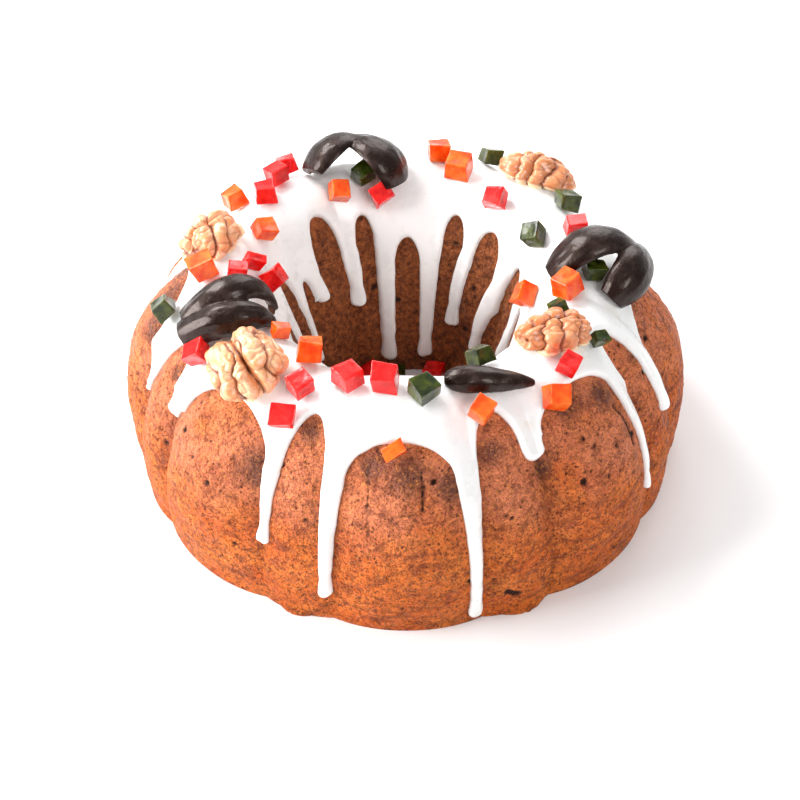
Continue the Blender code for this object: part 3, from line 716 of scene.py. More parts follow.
@dataclass(frozen=True)
class WalnutFinish:
    """Shelled walnut: pale tan skin, veined, with painted shade in its folds and cleft."""

    skin: Colour = (0.84, 0.330, 0.130)
    pale: Colour = (0.98, 0.600, 0.360)
    toasted: Colour = (0.62, 0.185, 0.055)
    # Dark brown of the veins, also laid as painted shade in the folds and the cleft.
    veins_and_shade: Colour = (0.26, 0.062, 0.016)
    rim: Colour = (0.96, 0.74, 0.46)
    patches: Pattern = Pattern(0.0055, 3, 0.6, 0.40, 0.66)
    toasts: Pattern = Pattern(0.0042, 3, 0.6, 0.55, 0.70)
    toast_strength: float = 0.65
    veins: Pattern = Pattern(0.0022, 4, 0.7, 0.47, 0.53)
    vein_bend: float = 0.8
    vein_strength: float = 1.4
    roughness: Pattern = Pattern(0.004, 2, 0.5, 0.3, 0.7, 0.28, 0.44)
    glow: Glow = Glow(0.25, (1.0, 0.5, 0.25), 0.0016)
    coat: Coat = Coat(0.50, 0.13)
    wrinkles: FineRelief = FineRelief(0.0013, 4, 0.6, 0.00022)

    def material(self) -> bpy.types.Material:
        """Build the material, which reads the marks crease, roast and rim.

        Returns:
            The material.
        """
        made = Finish("walnut_skin")
        colour = made.mix(made.pattern(self.patches), self.skin, self.pale)
        colour = made.layer(colour, made.pattern(self.toasts), self.toast_strength, self.toasted)
        share = made.grade(made.noise(*self.veins[:3], self.vein_bend), *self.veins[3:])
        veins = made.sums("MULTIPLY", share, made.sums("SUBTRACT", 1.0, share))
        colour = made.layer(colour, veins, self.vein_strength, self.veins_and_shade)
        # The crease mark lays painted shade in the folds and the cleft.
        for mark, shade in (("roast", self.toasted), ("rim", self.rim), ("crease", self.veins_and_shade)):
            colour = made.mix(made.mark(mark), colour, shade)
        made.surface(Base_Color=colour, Roughness=made.pattern(self.roughness))
        made.glow(self.glow)
        made.coat(self.coat)
        made.surface(Normal=made.fine_relief(self.wrinkles))
        return made.material


@dataclass(frozen=True)
class PruneFinish:
    """Dried prune: near-black wrinkled skin with a grey sheen, and brown flesh inside."""

    skin: Colour = (0.008, 0.003, 0.002)
    bloom: Colour = (0.036, 0.022, 0.019)
    flesh: Colour = (0.120, 0.036, 0.012)
    dark_flesh: Colour = (0.055, 0.020, 0.010)
    sheen: Colour = (1.0, 0.72, 0.62)
    dull: Pattern = Pattern(0.006, 3, 0.6, 0.50, 0.72)
    patches: Pattern = Pattern(0.0035, 3, 0.5, 0.35, 0.65)
    roughness: Pattern = Pattern(0.004, 2, 0.5, 0.3, 0.7, 0.20, 0.40)
    specular: float = 0.28
    coat: Coat = Coat(0.22, 0.10)
    wrinkles: FineRelief = FineRelief(0.0012, 4, 0.6, 0.00022)

    def material(self) -> bpy.types.Material:
        """Build the material, which reads the mark flesh.

        Returns:
            The material.
        """
        made = Finish("prune_skin")
        skin = made.mix(made.pattern(self.dull), self.skin, self.bloom)
        flesh = made.mix(made.pattern(self.patches), self.dark_flesh, self.flesh)
        made.surface(Base_Color=made.mix(made.mark("flesh"), skin, flesh))
        made.surface(Roughness=made.pattern(self.roughness), Specular_IOR_Level=self.specular)
        made.surface(Specular_Tint=self.sheen, Normal=made.fine_relief(self.wrinkles))
        made.coat(self.coat)
        return made.material


class RingSection:
    """The crust's section swept round the ring, with its flutes and the lumps that the icing follows too."""

    STEPS = 16
    LOBE_PITCH = 45.0
    VALLEY_OFFSET = 15.0
    LOBE_ROUNDNESS = 2.3
    RIB_SHARE = 0.42
    FLAT_FOOT_HEIGHT = 0.020
    LUMPS = (Wave(0.018, 3, 1, 0.35), Wave(0.0062, 5, 1, 0.15))
    LUMP_FREE_HEIGHT = 0.006

    def __init__(self) -> None:
        """Draw a smooth curve through the section's points."""
        points = np.array(SECTION_POINTS)
        padded = np.vstack([2 * points[0] - points[1], points, 2 * points[-1] - points[-2]])
        t = np.arange(self.STEPS)[:, None] / self.STEPS
        pieces = []
        for before, start, end, after in zip(padded, padded[1:], padded[2:], padded[3:]):
            pieces.append(0.5 * (2 * start + (end - before) * t
                                 + (2 * before - 5 * start + 4 * end - after) * t ** 2
                                 + (3 * start - before - 3 * end + after) * t ** 3))
        curve = np.vstack(pieces + [points[-1:]])
        lengths = np.linalg.norm(np.diff(curve, axis=0), axis=1)
        self.arcs = np.concatenate([[0.0], np.cumsum(lengths)])
        self.radii, self.heights = curve.T
        along = np.gradient(curve, self.arcs, axis=0)
        along /= np.linalg.norm(along, axis=1)[:, None]
        self.normal_radii, self.normal_heights = along[:, 1], -along[:, 0]
        middles = 2.0 / (self.radii[1:] + self.radii[:-1])
        self.spread = OUTER_RADIUS * np.exp(-np.concatenate([[0.0], np.cumsum(middles * lengths)]))

    @property
    def full_arc(self) -> float:
        """Length of the whole section."""
        return float(self.arcs[-1])

    def radius(self, arc: np.ndarray | float) -> np.ndarray:
        """Distance from the axis at an arc."""
        return np.interp(arc, self.arcs, self.radii)

    def flute_depth(self, azimuth: np.ndarray, arc: np.ndarray) -> np.ndarray:
        """How far the fluted crust lies under the backs of its broad lobes.

        Args:
            azimuth: degrees.
            arc: metres.

        Returns:
            Depths in metres.
        """
        half = self.LOBE_PITCH / 2
        angle = np.abs((azimuth + half) % self.LOBE_PITCH - half)
        valley = np.interp(arc, *np.array(VALLEY_DEPTHS).T)
        lobe = (angle / self.VALLEY_OFFSET) ** self.LOBE_ROUNDNESS
        rib = self.RIB_SHARE + (1 - self.RIB_SHARE) * ((half - angle) / (half - self.VALLEY_OFFSET)) ** 2
        return valley * np.where(angle <= self.VALLEY_OFFSET, lobe, rib)

    def place(self, azimuth: np.ndarray, arc: np.ndarray, lift: np.ndarray | float = 0.0) -> np.ndarray:
        """Points on the fluted crust.

        Args:
            azimuth: degrees.
            arc: metres.
            lift: height over the crust in metres.

        Returns:
            Rows of x, y, z.
        """
        height = np.interp(arc, self.arcs, self.heights)
        upward = np.interp(arc, self.arcs, self.normal_heights)
        upward *= np.clip(height / self.FLAT_FOOT_HEIGHT, 0, 1)
        offset = lift - self.flute_depth(azimuth, arc)
        radius = self.radius(arc) + np.interp(arc, self.arcs, self.normal_radii) * offset
        turn = np.radians(azimuth)
        return np.stack([radius * np.cos(turn), radius * np.sin(turn), height + upward * offset], axis=1)

    def lumps(self, azimuth: np.ndarray, arc: np.ndarray) -> np.ndarray:
        """Low unevenness of the baked ring, which the icing follows.

        Args:
            azimuth: degrees.
            arc: metres.

        Returns:
            Heights in metres.
        """
        points = self.place(azimuth, arc)
        share = smooth_share(points[:, 2], 0.0, self.LUMP_FREE_HEIGHT)
        return share * sum(wave.at(points) for wave in self.LUMPS)

    def spot(self, azimuth: float, arc: float, lift: float = 0.0) -> np.ndarray:
        """One point on the crust, or over it."""
        return self.place(np.array([azimuth]), np.array([arc]), lift)[0]

    def on_plane(self, azimuth: np.ndarray, arc: np.ndarray) -> np.ndarray:
        """Spread places flat, so that shapes keep their angles: the foot on a rim, the hole in the middle.

        Args:
            azimuth: degrees.
            arc: metres.

        Returns:
            Rows of x and y.
        """
        reach = np.interp(arc, self.arcs, self.spread)
        turn = np.radians(azimuth)
        return np.stack([reach * np.cos(turn), reach * np.sin(turn)], axis=1)

    def off_plane(self, points: np.ndarray) -> tuple[np.ndarray, np.ndarray]:
        """Bring points of the flat spread back.

        Args:
            points: rows of x and y.

        Returns:
            Azimuths and arcs.
        """
        reach = np.hypot(points[:, 0], points[:, 1])
        arc = np.interp(-reach, -self.spread, self.arcs)
        return np.degrees(np.arctan2(points[:, 1], points[:, 0])), arc


def angle_between(azimuth: np.ndarray, other: float) -> np.ndarray:
    """Signed difference of two azimuths in degrees, from -180 to 180."""
    return (azimuth - other + 180.0) % 360.0 - 180.0


@dataclass
class Crust:
    """The baked ring: lobes and ribs, wrinkles, pores, craters, cracks and a ragged foot."""

    section: RingSection
    finish: CrustFinish
    columns: int = 720
    outer_rows: int = 96
    inner_rows: int = 71
    outer_end: float = 0.0915
    inner_start: float = 0.1110
    pore_count: int = 1500
    # Reaches of arc that share the pores, then radii in millimetres and depths as shares of the radius.
    pore_arcs: tuple[Place, ...] = ((0.008, 0.088), (0.010, 0.088), (0.115, 0.186))
    pore_radii: Place = (0.35, 0.70)
    pore_depths: Place = (0.45, 0.85)
    large_pores: float = 0.08
    large_factor: float = 1.6
    crack_steps: int = 24
    crack_sway: float = 0.15
    # Arcs between which the outer relief gives way to the crumb, and between which the colours do.
    relief_change: Place = (0.095, 0.112)
    colour_change: Place = (0.098, 0.122)
    wrinkle_arcs: Place = (0.060, 0.035)
    wrinkle_height: float = 0.17
    skin: tuple[Wave, ...] = (Wave(0.0045, 37, 3, 0.40), Wave(0.0024, 39, 1, 0.32))
    crumb_height: float = 0.42
    clumps: Wave = Wave(0.0075, 43, 1, 0.35)
    crags: Wave = Wave(0.0050, 47, 3, 1.0)
    crag_arc: float = 0.012
    # A raised pad on the front lobe: middle, half sizes in degrees and metres, height in millimetres.
    pad_middle: Place = (267.3, 0.064)
    pad_half: Place = (4.6, 0.0085)
    pad_height: float = 0.35
    soot_strength: float = 0.85
    # Craters as azimuth, arc, radius and depth, the last two in millimetres.
    craters: tuple[tuple[float, float, float, float], ...] = (
        (275.3, 0.0669, 1.0, 0.95), (307.4, 0.0512, 1.0, 1.20), (313.2, 0.0485, 0.8, 0.90),
        (304.6, 0.0570, 0.7, 0.60), (309.6, 0.0540, 0.6, 0.60), (291.0, 0.0480, 0.7, 0.60),
        (231.0, 0.0470, 0.8, 0.60), (247.6, 0.0520, 0.7, 0.50), (155.0, 0.0600, 1.1, 0.90),
        (312.0, 0.0614, 0.8, 0.60), (317.3, 0.0567, 0.8, 0.60), (323.7, 0.0543, 0.9, 0.70),
        (216.6, 0.0579, 1.1, 0.80), (266.7, 0.0656, 0.9, 0.45), (282.0, 0.0233, 1.0, 0.80),
        (107.0, 0.1499, 1.4, 0.80), (93.9, 0.1561, 1.2, 0.80), (64.8, 0.1290, 1.1, 0.70),
    )
    # Cracks as azimuth and arc points, then width and depth in millimetres.
    cracks: tuple[tuple[tuple[Place, ...], float, float], ...] = (
        (((322.1, 0.0681), (323.4, 0.0614), (323.1, 0.0555), (322.3, 0.0505)), 0.70, 0.65),
        (((272.9, 0.0710), (273.2, 0.0640), (272.8, 0.0567)), 0.65, 0.65),
        (((261.4, 0.0724), (262.0, 0.0608), (262.4, 0.0472)), 0.65, 0.50),
        (((289.7, 0.0129), (292.1, 0.0105)), 1.0, 1.10),
        (((265.3, 0.0712), (266.6, 0.0665), (268.6, 0.0614)), 0.55, 0.30),
        (((262.4, 0.0567), (267.0, 0.0552), (272.8, 0.0567)), 0.60, 0.42),
    )
    # Dark overbaked patches as azimuth, arc and radius in millimetres.
    sooty: tuple[tuple[float, float, float], ...] = (
        (262.5, 0.0720, 7.0), (270.0, 0.0690, 8.5), (279.0, 0.0640, 7.0), (289.0, 0.0740, 6.0),
        (236.5, 0.0610, 8.0), (247.0, 0.0800, 5.0), (300.0, 0.0620, 5.0), (311.0, 0.0790, 7.0),
        (321.0, 0.0740, 6.0), (341.0, 0.0720, 6.0), (18.0, 0.0700, 9.0), (57.0, 0.0660, 9.0),
        (80.0, 0.0740, 6.0), (112.0, 0.0700, 9.0), (149.0, 0.0680, 8.0), (187.0, 0.0660, 9.0),
        (205.0, 0.0700, 5.0), (180.0, 0.0760, 9.0), (172.0, 0.0800, 9.0),
    )
    # Thin ledges at the foot: azimuth, half width in degrees and reach in millimetres.
    ledges: tuple[tuple[float, float, float], ...] = (
        (294.0, 5.0, 2.2), (247.0, 3.5, 1.6), (38.0, 6.0, 1.8), (128.0, 4.0, 1.5),
    )
    pores: list[tuple[float, float, float, float]] = field(default_factory=list)

    def scatter_pores(self) -> None:
        """Choose the places and sizes of the small pores."""
        rng = random.Random(SEED + 1)
        for _ in range(self.pore_count):
            arc = rng.choice([rng.uniform(*reach) for reach in self.pore_arcs])
            size = rng.uniform(*self.pore_radii)
            size *= self.large_factor if rng.random() < self.large_pores else 1.0
            self.pores.append((rng.uniform(0.0, 360.0), arc, size, size * rng.uniform(*self.pore_depths)))

    def dents(self, azimuth: np.ndarray, arc: np.ndarray) -> np.ndarray:
        """Depth of pores, craters and cracks.

        Args:
            azimuth: degrees.
            arc: metres.

        Returns:
            Depths in metres, 0 or more.
        """
        points = self.section.place(azimuth, arc)
        tree = tree_of(points)
        depth = np.zeros(len(points))
        rough = 1.0 + 0.55 * lattice_noise(points, 0.0018, 21)
        spots = [*self.craters, *self.pores]
        rng = random.Random(SEED + 2)
        for line, width, deep in self.cracks:
            for (az0, s0), (az1, s1) in zip(line, line[1:]):
                for step in range(self.crack_steps + 1):
                    sway = rng.uniform(-self.crack_sway, self.crack_sway)
                    spots.append((az0 + (az1 - az0) * step / self.crack_steps + sway,
                                  s0 + (s1 - s0) * step / self.crack_steps,
                                  width * rng.uniform(0.7, 1.1), deep * rng.uniform(0.4, 1.1)))
        centres = self.section.place(*np.array([spot[:2] for spot in spots]).T)
        for centre, (_, _, size, deep) in zip(centres, spots):
            for _, index, distance in tree.find_range(centre, size * MM * 1.8):
                share = distance / (size * MM * rough[index])
                depth[index] = max(depth[index], deep * MM * math.exp(-share ** 3))
        return depth

    def relief(self, azimuth: np.ndarray, arc: np.ndarray) -> tuple[np.ndarray, np.ndarray, np.ndarray]:
        """Relief over the lumps.

        Args:
            azimuth: degrees.
            arc: metres.

        Returns:
            Relief in metres, the dents' depth in metres, and how wrinkled the skin is from 0 to 1, highest in
            the wrinkles' grooves, which the finish darkens as painted shade.
        """
        points = self.section.place(azimuth, arc)
        outer = 1.0 - smooth_share(arc, *self.relief_change)
        sway = 0.0015 * lattice_noise(points, 0.012, 29)
        around = np.stack([np.radians(azimuth) * OUTER_RADIUS * 0.20, np.zeros(len(arc)), arc + sway], axis=1)
        lines = layered_noise(around, 0.0026, 31, 2) * smooth_share(arc, *self.wrinkle_arcs)
        wrinkles = lines * self.wrinkle_height * MM
        skin = sum(wave.at(points) for wave in self.skin)
        crumbs = (1.0 - 2.0 * np.abs(layered_noise(points, 0.0036, 41, 3))) * self.crumb_height * MM
        foot = smooth_share(arc, self.crag_arc, 0.0) * self.crags.at(points)
        sideways = angle_between(azimuth, self.pad_middle[0]) / self.pad_half[0]
        lengthways = (arc - self.pad_middle[1]) / self.pad_half[1]
        pad = np.exp(-sideways ** 6 - lengthways ** 6) * self.pad_height * MM
        dents = self.dents(azimuth, arc)
        crumbs += self.clumps.at(points)
        total = outer * (wrinkles + skin + pad + foot) + (1.0 - outer) * crumbs - dents
        return total * smooth_share(arc, 0.0, 0.0015), dents, outer * smooth_share(lines, -0.10, -0.45)

    def soot(self, points: np.ndarray) -> np.ndarray:
        """How overbaked the crust is.

        Args:
            points: rows of x, y, z.

        Returns:
            A share for each point.
        """
        near = np.zeros(len(points))
        for azimuth, arc, radius in self.sooty:
            away = np.linalg.norm(points - self.section.spot(azimuth, arc), axis=1) / (radius * MM)
            near = np.maximum(near, np.exp(-away ** 2))
        near += 0.40 * layered_noise(points, 0.0075, 63, 4)
        return self.soot_strength * smooth_share(near, 0.10, 1.0)

    def ledge_reach(self, azimuth: np.ndarray) -> np.ndarray:
        """How far the ragged ledges stand out at the foot.

        Args:
            azimuth: degrees.

        Returns:
            Lengths in metres.
        """
        reach = np.zeros(len(azimuth))
        for centre, half, full in self.ledges:
            away = np.clip(np.abs(angle_between(azimuth, centre)) / half, 0.0, 1.0)
            reach = np.maximum(reach, full * MM * np.cos(away * math.pi / 2))
        turn = np.radians(azimuth)
        rim = np.stack([np.cos(turn), np.sin(turn), np.zeros(len(turn))], axis=1) * OUTER_RADIUS
        return reach * (1.0 + 0.35 * lattice_noise(rim, 0.0022, 51))

    def build(self) -> bpy.types.Object:
        """Make the mesh and dress it.

        Returns:
            The crust.
        """
        self.scatter_pores()
        half = self.columns // 2
        outer_arcs = np.linspace(0.0, self.outer_end, self.outer_rows)
        inner_arcs = np.linspace(self.inner_start, self.section.full_arc, self.inner_rows)
        wide = np.arange(self.columns) * 360.0 / self.columns
        narrow = np.arange(half) * 360.0 / half
        azimuth = np.concatenate([np.tile(wide, self.outer_rows), np.tile(narrow, self.inner_rows)])
        arc = np.concatenate([np.repeat(outer_arcs, self.columns), np.repeat(inner_arcs, half)])
        relief, dents, wrinkle = self.relief(azimuth, arc)
        lift = relief + self.section.lumps(azimuth, arc)
        points = self.section.place(azimuth, arc, lift)
        ledge = self.ledge_reach(azimuth) * smooth_share(arc, 0.0030, 0.0004)
        points[:, :2] *= (1.0 + ledge / np.hypot(points[:, 0], points[:, 1]))[:, None]
        points[arc <= 0.0, 2] = 0.0
        points[arc >= self.section.full_arc - 1e-9, 2] = 0.0
        points[:, 2] = np.maximum(points[:, 2], 0.0)
        shade = layered_noise(points, 0.020, 61, 3)
        # Where the pinkish grey, partly painted sheen, lies over the upper crust.
        shoulder = smooth_share(arc + 0.012 * shade, 0.028, 0.060) * smooth_share(shade, -0.9, 0.2)
        gloss = smooth_share(lattice_noise(points, 0.011, 67), 0.05, 0.6) * shoulder
        # Marks for the finish: valley, wrinkle and dent lay painted shade in flute valleys, wrinkle grooves
        # and pits; shoulder lays a pinkish grey that is partly painted sheen.
        marks = {"dent": dents / MM, "wrinkle": wrinkle, "hole": smooth_share(arc, *self.colour_change),
                 "shoulder": shoulder, "soot": self.soot(points), "gloss": gloss,
                 "valley": smooth_share(self.section.flute_depth(azimuth, arc), 0.0030, 0.0075)}
        return add_piece("baked_ring", points, self.faces(half), self.finish.material(), marks)

    def faces(self, half: int) -> list[tuple[int, ...]]:
        """Faces between the rows, with twice as many columns outside as down the hole.

        Args:
            half: columns down the hole.

        Returns:
            Corner indices of each face.
        """
        inner_base = self.outer_rows * self.columns
        faces = quads_between(0, self.outer_rows, self.columns)
        faces += quads_between(inner_base, self.inner_rows, half)
        top, foot = inner_base - self.columns, inner_base + (self.inner_rows - 1) * half
        for c in range(half):
            after = (c + 1) % half
            a, b, d = 2 * c, 2 * c + 1, (2 * c + 2) % self.columns
            inner, following = inner_base + c, inner_base + after
            faces += [(top + a, top + b, inner), (top + b, following, inner), (top + b, top + d, following)]
            inner, following = foot + c, foot + after
            faces += [(inner, b, a), (inner, following, b), (following, d, b)]
        return faces


@dataclass
class IcingEdge:
    """The closed edge of the icing, outside or down the hole: arches over bare crust and drips between."""

    section: RingSection
    windows: tuple[Window, ...]
    drips: tuple[Drip, ...]
    seed: int
    step: float = 0.00045
    taper: float = 2.2
    roundness: float = 0.9
    arch_points: int = 61
    side_points: int = 60
    tip_points: int = 25
    swelling: float = 0.16
    swelling_reach: float = 0.0035
    neck_distance: float = 0.0070
    neck_reach: float = 0.0028

    def arch(self, window: Window) -> list[Place]:
        """Arched end of a window.

        Args:
            window: the bare crust.

        Returns:
            Azimuth and arc points from its left side to its right side.
        """
        centre, half = (window.left + window.right) / 2, (window.right - window.left) / 2
        turns = np.linspace(0.0, math.pi, self.arch_points)
        rise = (window.end - window.shoulder) * np.clip(np.sin(turns), 0.0, 1.0) ** self.roundness
        return list(zip(centre - half * np.cos(turns), window.shoulder + rise))

    def drip(self, window: Window, drip: Drip, following: Window) -> list[Place]:
        """Sides and round tip of the drip between two windows, a little wider where it has gathered.

        Args:
            window: the bare crust before it.
            drip: the drip.
            following: the bare crust after it.

        Returns:
            Azimuth and arc points from the first window to the next.
        """
        downward = 1.0 if drip.arc > window.shoulder else -1.0
        half_width = drip.width / 2
        half_angle = math.degrees(half_width / float(self.section.radius(drip.arc)))
        neck = drip.arc - downward * half_width

        def side(start_azimuth: float, start_arc: float, sign: float) -> list[Place]:
            """One side of the drip.

            Args:
                start_azimuth: where it starts.
                start_arc: the arc of its shoulder.
                sign: -1 on the left, 1 on the right.

            Returns:
                Azimuth and arc points down to the neck.
            """
            share = np.linspace(0.0, 1.0, self.side_points)[1:]
            drawn = 1.0 - (1.0 - share) ** self.taper
            arcs = start_arc + (neck - start_arc) * share
            away = np.abs(arcs - neck)
            gathered = 1.0 + self.swelling * np.exp(-(away / self.swelling_reach) ** 2)
            gathered -= drip.thinned * np.exp(-((away - self.neck_distance) / self.neck_reach) ** 2)
            ends = drip.azimuth + sign * half_angle * gathered
            return list(zip(start_azimuth + (ends - start_azimuth) * drawn, arcs))

        left = side(window.right, window.shoulder, -1.0)
        right = side(following.left, following.shoulder, 1.0)
        turns = np.linspace(-math.pi / 2, math.pi / 2, self.tip_points)[1:-1]
        tip = list(zip(drip.azimuth + half_angle * (1.0 + self.swelling) * np.sin(turns),
                       neck + downward * half_width * np.cos(turns)))
        return left + tip + right[::-1]

    def outline(self) -> tuple[np.ndarray, np.ndarray]:
        """The whole edge at even steps, a little uneven.

        Returns:
            Azimuths and arcs of its points.
        """
        places: list[Place] = []
        for index, (window, drip) in enumerate(zip(self.windows, self.drips)):
            following = self.windows[(index + 1) % len(self.windows)]
            if following.left < window.left:
                following = following._replace(left=following.left + 360.0, right=following.right + 360.0)
            places += self.arch(window)
            places += self.drip(window, drip, following)
        azimuth, arc = np.array(places + [(places[0][0] + 360.0, places[0][1])]).T
        points = self.section.place(azimuth, arc)
        travelled = np.concatenate([[0.0], np.cumsum(np.linalg.norm(np.diff(points, axis=0), axis=1))])
        even = np.linspace(0.0, travelled[-1], int(travelled[-1] / self.step))[:-1]
        azimuth, arc = np.interp(even, travelled, azimuth), np.interp(even, travelled, arc)
        points = self.section.place(azimuth, arc)
        azimuth += np.degrees(Wave(0.0045, self.seed, 1, 0.22).at(points) / self.section.radius(arc))
        arc += Wave(0.0050, self.seed + 1, 1, 0.25).at(points)
        return azimuth, arc


@dataclass
class Icing:
    """The poured icing: a thin rounded skin over the crest, whose edges hang down in drips."""

    section: RingSection
    finish: IcingFinish
    thickness: float = 0.0023
    rounding: float = 0.0019
    sunk: float = -0.0004
    spacing: float = 0.00088
    under_spacing: float = 0.0030
    under_lift: float = -0.0007
    edge_offsets: tuple[float, ...] = (0.00012, 0.00038, 0.00080, 0.00130)
    dense_offset: float = 0.0006
    row_pitch: float = 0.866
    margin: float = 0.0005
    under_margin: float = 0.0012
    waves: Wave = Wave(0.013, 77, 1, 0.12)
    bead_height: float = 0.45
    bead_reach: float = 0.0042
    meniscus: float = 0.0009
    meniscus_reach: float = 0.0021
    # Radius and height of the middle of the ring's body, which its surface faces away from.
    core: Place = (0.068, 0.035)
    # Stains as azimuth, arc, radius in millimetres and strength.
    cream_stains: tuple[tuple[float, float, float, float], ...] = (
        (345.4, 0.0872, 3.0, 0.35), (171.1, 0.1284, 2.6, 0.35), (54.0, 0.1202, 2.6, 0.30),
        (167.6, 0.1307, 2.2, 0.30), (209.5, 0.0600, 4.0, 0.30), (283.5, 0.0060, 3.0, 0.25),
    )
    juice_stains: tuple[tuple[float, float, float, float], ...] = (
        (299.3, 0.0788, 2.0, 0.45), (63.8, 0.1139, 1.2, 0.35), (238.0, 0.1010, 5.0, 0.10),
    )

    def plane_faces(self, loops: list[np.ndarray], inside: np.ndarray) -> tuple[np.ndarray, list, list]:
        """Triangulate the skin on the flat spread.

        Args:
            loops: outer and inner edge as plane points.
            inside: plane points between the edges.

        Returns:
            Plane points, triangles and the edge point that each point is, or None.
        """
        outer, inner = len(loops[0]), len(loops[1])
        rings = [list(range(outer)), list(range(outer, outer + inner))]
        spread = [Vector(point) for point in np.vstack([*loops, inside])]
        points, _, faces, sources, _, owners = delaunay_2d_cdt(spread, [], rings, 1, 1e-8)
        kept = [tuple(face) for face, owner in zip(faces, owners) if 0 in owner and 1 not in owner]
        edges = [source[0] if source and source[0] < outer + inner else None for source in sources]
        return np.array(points), kept, edges

    def inner_points(self, loops: list[np.ndarray], tree: KDTree, normals: np.ndarray, spacing: float,
                     margin: float) -> np.ndarray:
        """Staggered points over the skin, at a distance from its edges.

        Args:
            loops: outer and inner edge as azimuth and arc columns.
            tree: tree of the edges' points in space.
            normals: directions away from the skin at the edges' points.
            spacing: distance between the points in metres.
            margin: least distance to the edges in metres.

        Returns:
            Rows of azimuth and arc.
        """
        places = []
        low, high = min(loops[0][:, 1]), max(loops[1][:, 1])
        for row, arc in enumerate(np.arange(low, high, spacing * self.row_pitch)):
            count = round(2 * math.pi * float(self.section.radius(arc)) / spacing)
            turn = (np.arange(count) + 0.5 * (row % 2)) * 360.0 / count
            places.append(np.stack([turn, np.full(count, arc)], axis=1))
        places = np.vstack(places)
        points = self.section.place(*places.T)
        kept = [self.depth_inside(point, tree, normals) > margin for point in points]
        return places[kept]

    @staticmethod
    def depth_inside(point: np.ndarray, tree: KDTree, normals: np.ndarray) -> float:
        """Distance to the nearest edge, below 0 where the point is off the skin.

        Args:
            point: x, y, z.
            tree: tree of the edges' points.
            normals: directions away from the skin there.

        Returns:
            The distance in metres.
        """
        spot, index, distance = tree.find(point)
        return -distance if float(np.dot(point - np.array(spot), normals[index])) > 0 else distance

    def edge_normals(self, points: np.ndarray, sizes: Sequence[int]) -> np.ndarray:
        """Directions away from the skin, along the crust, at each edge point.

        Args:
            points: edge points in space, the outer edge first.
            sizes: how many points each edge has.

        Returns:
            Rows of unit vectors.
        """
        made = []
        start = 0
        for size in sizes:
            ring = points[start:start + size]
            along = np.roll(ring, -1, axis=0) - np.roll(ring, 1, axis=0)
            out = self.outward(ring)
            away = np.cross(along, out)
            made.append(away / np.linalg.norm(away, axis=1)[:, None])
            start += size
        made[1] = -made[1]
        return np.vstack(made)

    def outward(self, points: np.ndarray) -> np.ndarray:
        """Rough directions away from the ring's core.

        Args:
            points: rows of x, y, z.

        Returns:
            Rows of unit vectors.
        """
        turn = np.arctan2(points[:, 1], points[:, 0])
        radius, height = self.core
        core = np.stack([np.cos(turn) * radius, np.sin(turn) * radius, np.full(len(turn), height)], axis=1)
        out = points - core
        return out / np.linalg.norm(out, axis=1)[:, None]

    def build(self, toppings: list[bpy.types.Object]) -> bpy.types.Object:
        """Make the skin, drawn up a little against each topping, and dress it.

        Args:
            toppings: what stands on the icing.

        Returns:
            The icing.
        """
        edges = [IcingEdge(self.section, OUTER_WINDOWS, OUTER_DRIPS, 71),
                 IcingEdge(self.section, INNER_WINDOWS, INNER_DRIPS, 73)]
        loops = [np.stack(edge.outline(), axis=1) for edge in edges]
        places = np.vstack(loops)
        points = self.section.place(*places.T)
        sizes = [len(loop) for loop in loops]
        normals = self.edge_normals(points, sizes)
        tree = tree_of(points)
        rows = [self.offset_row(points, normals, offset, tree) for offset in self.edge_offsets]
        middle = self.inner_points(loops, tree, normals, self.spacing, self.edge_offsets[-1] + self.margin)
        top = self.skin(loops, np.vstack([*rows, middle]), tree, normals, toppings)
        under = self.inner_points(loops, tree, normals, self.under_spacing, self.under_margin)
        bottom = self.skin(loops, under, tree, normals, None)
        points, faces = self.closed(top, bottom)
        stains = {"cream": self.cream_stains, "juice": self.juice_stains}
        marks = {mark: self.stain(points, places) for mark, places in stains.items()}
        return add_piece("poured_icing", points, faces, self.finish.material(), marks)

    def offset_row(self, points: np.ndarray, normals: np.ndarray, offset: float,
                   tree: KDTree) -> np.ndarray:
        """Places at a distance inside the edges.

        Args:
            points: edge points in space.
            normals: directions away from the skin.
            offset: the distance in metres.
            tree: tree of the edges' points.

        Returns:
            Rows of azimuth and arc.
        """
        step = 1 if offset < self.dense_offset else 2
        moved = points[::step] - normals[::step] * offset
        kept = moved[[tree.find(point)[2] > offset * 0.9 for point in moved]]
        azimuth = np.degrees(np.arctan2(kept[:, 1], kept[:, 0]))
        radius = np.hypot(kept[:, 0], kept[:, 1])
        arc = self.nearest_arc(azimuth, radius, kept[:, 2])
        return np.stack([azimuth, arc], axis=1)

    def nearest_arc(self, azimuth: np.ndarray, radius: np.ndarray, height: np.ndarray) -> np.ndarray:
        """Arc of the crust's point nearest to each given one, at its azimuth.

        Args:
            azimuth: degrees.
            radius: distances from the axis.
            height: heights.

        Returns:
            Arcs in metres.
        """
        arcs = self.section.arcs
        curves = [self.section.place(azimuth, np.full(len(azimuth), arc)) for arc in arcs]
        away = np.stack([np.hypot(np.hypot(x, y) - radius, z - height)
                         for x, y, z in (curve.T for curve in curves)], axis=1)
        nearest = np.argmin(away, axis=1)
        low, high = np.clip(nearest - 1, 0, None), np.clip(nearest + 1, None, len(arcs) - 1)
        rows = np.arange(len(azimuth))
        before, after = away[rows, low], away[rows, high]
        share = before / np.maximum(before + after, 1e-9)
        return arcs[low] + (arcs[high] - arcs[low]) * share

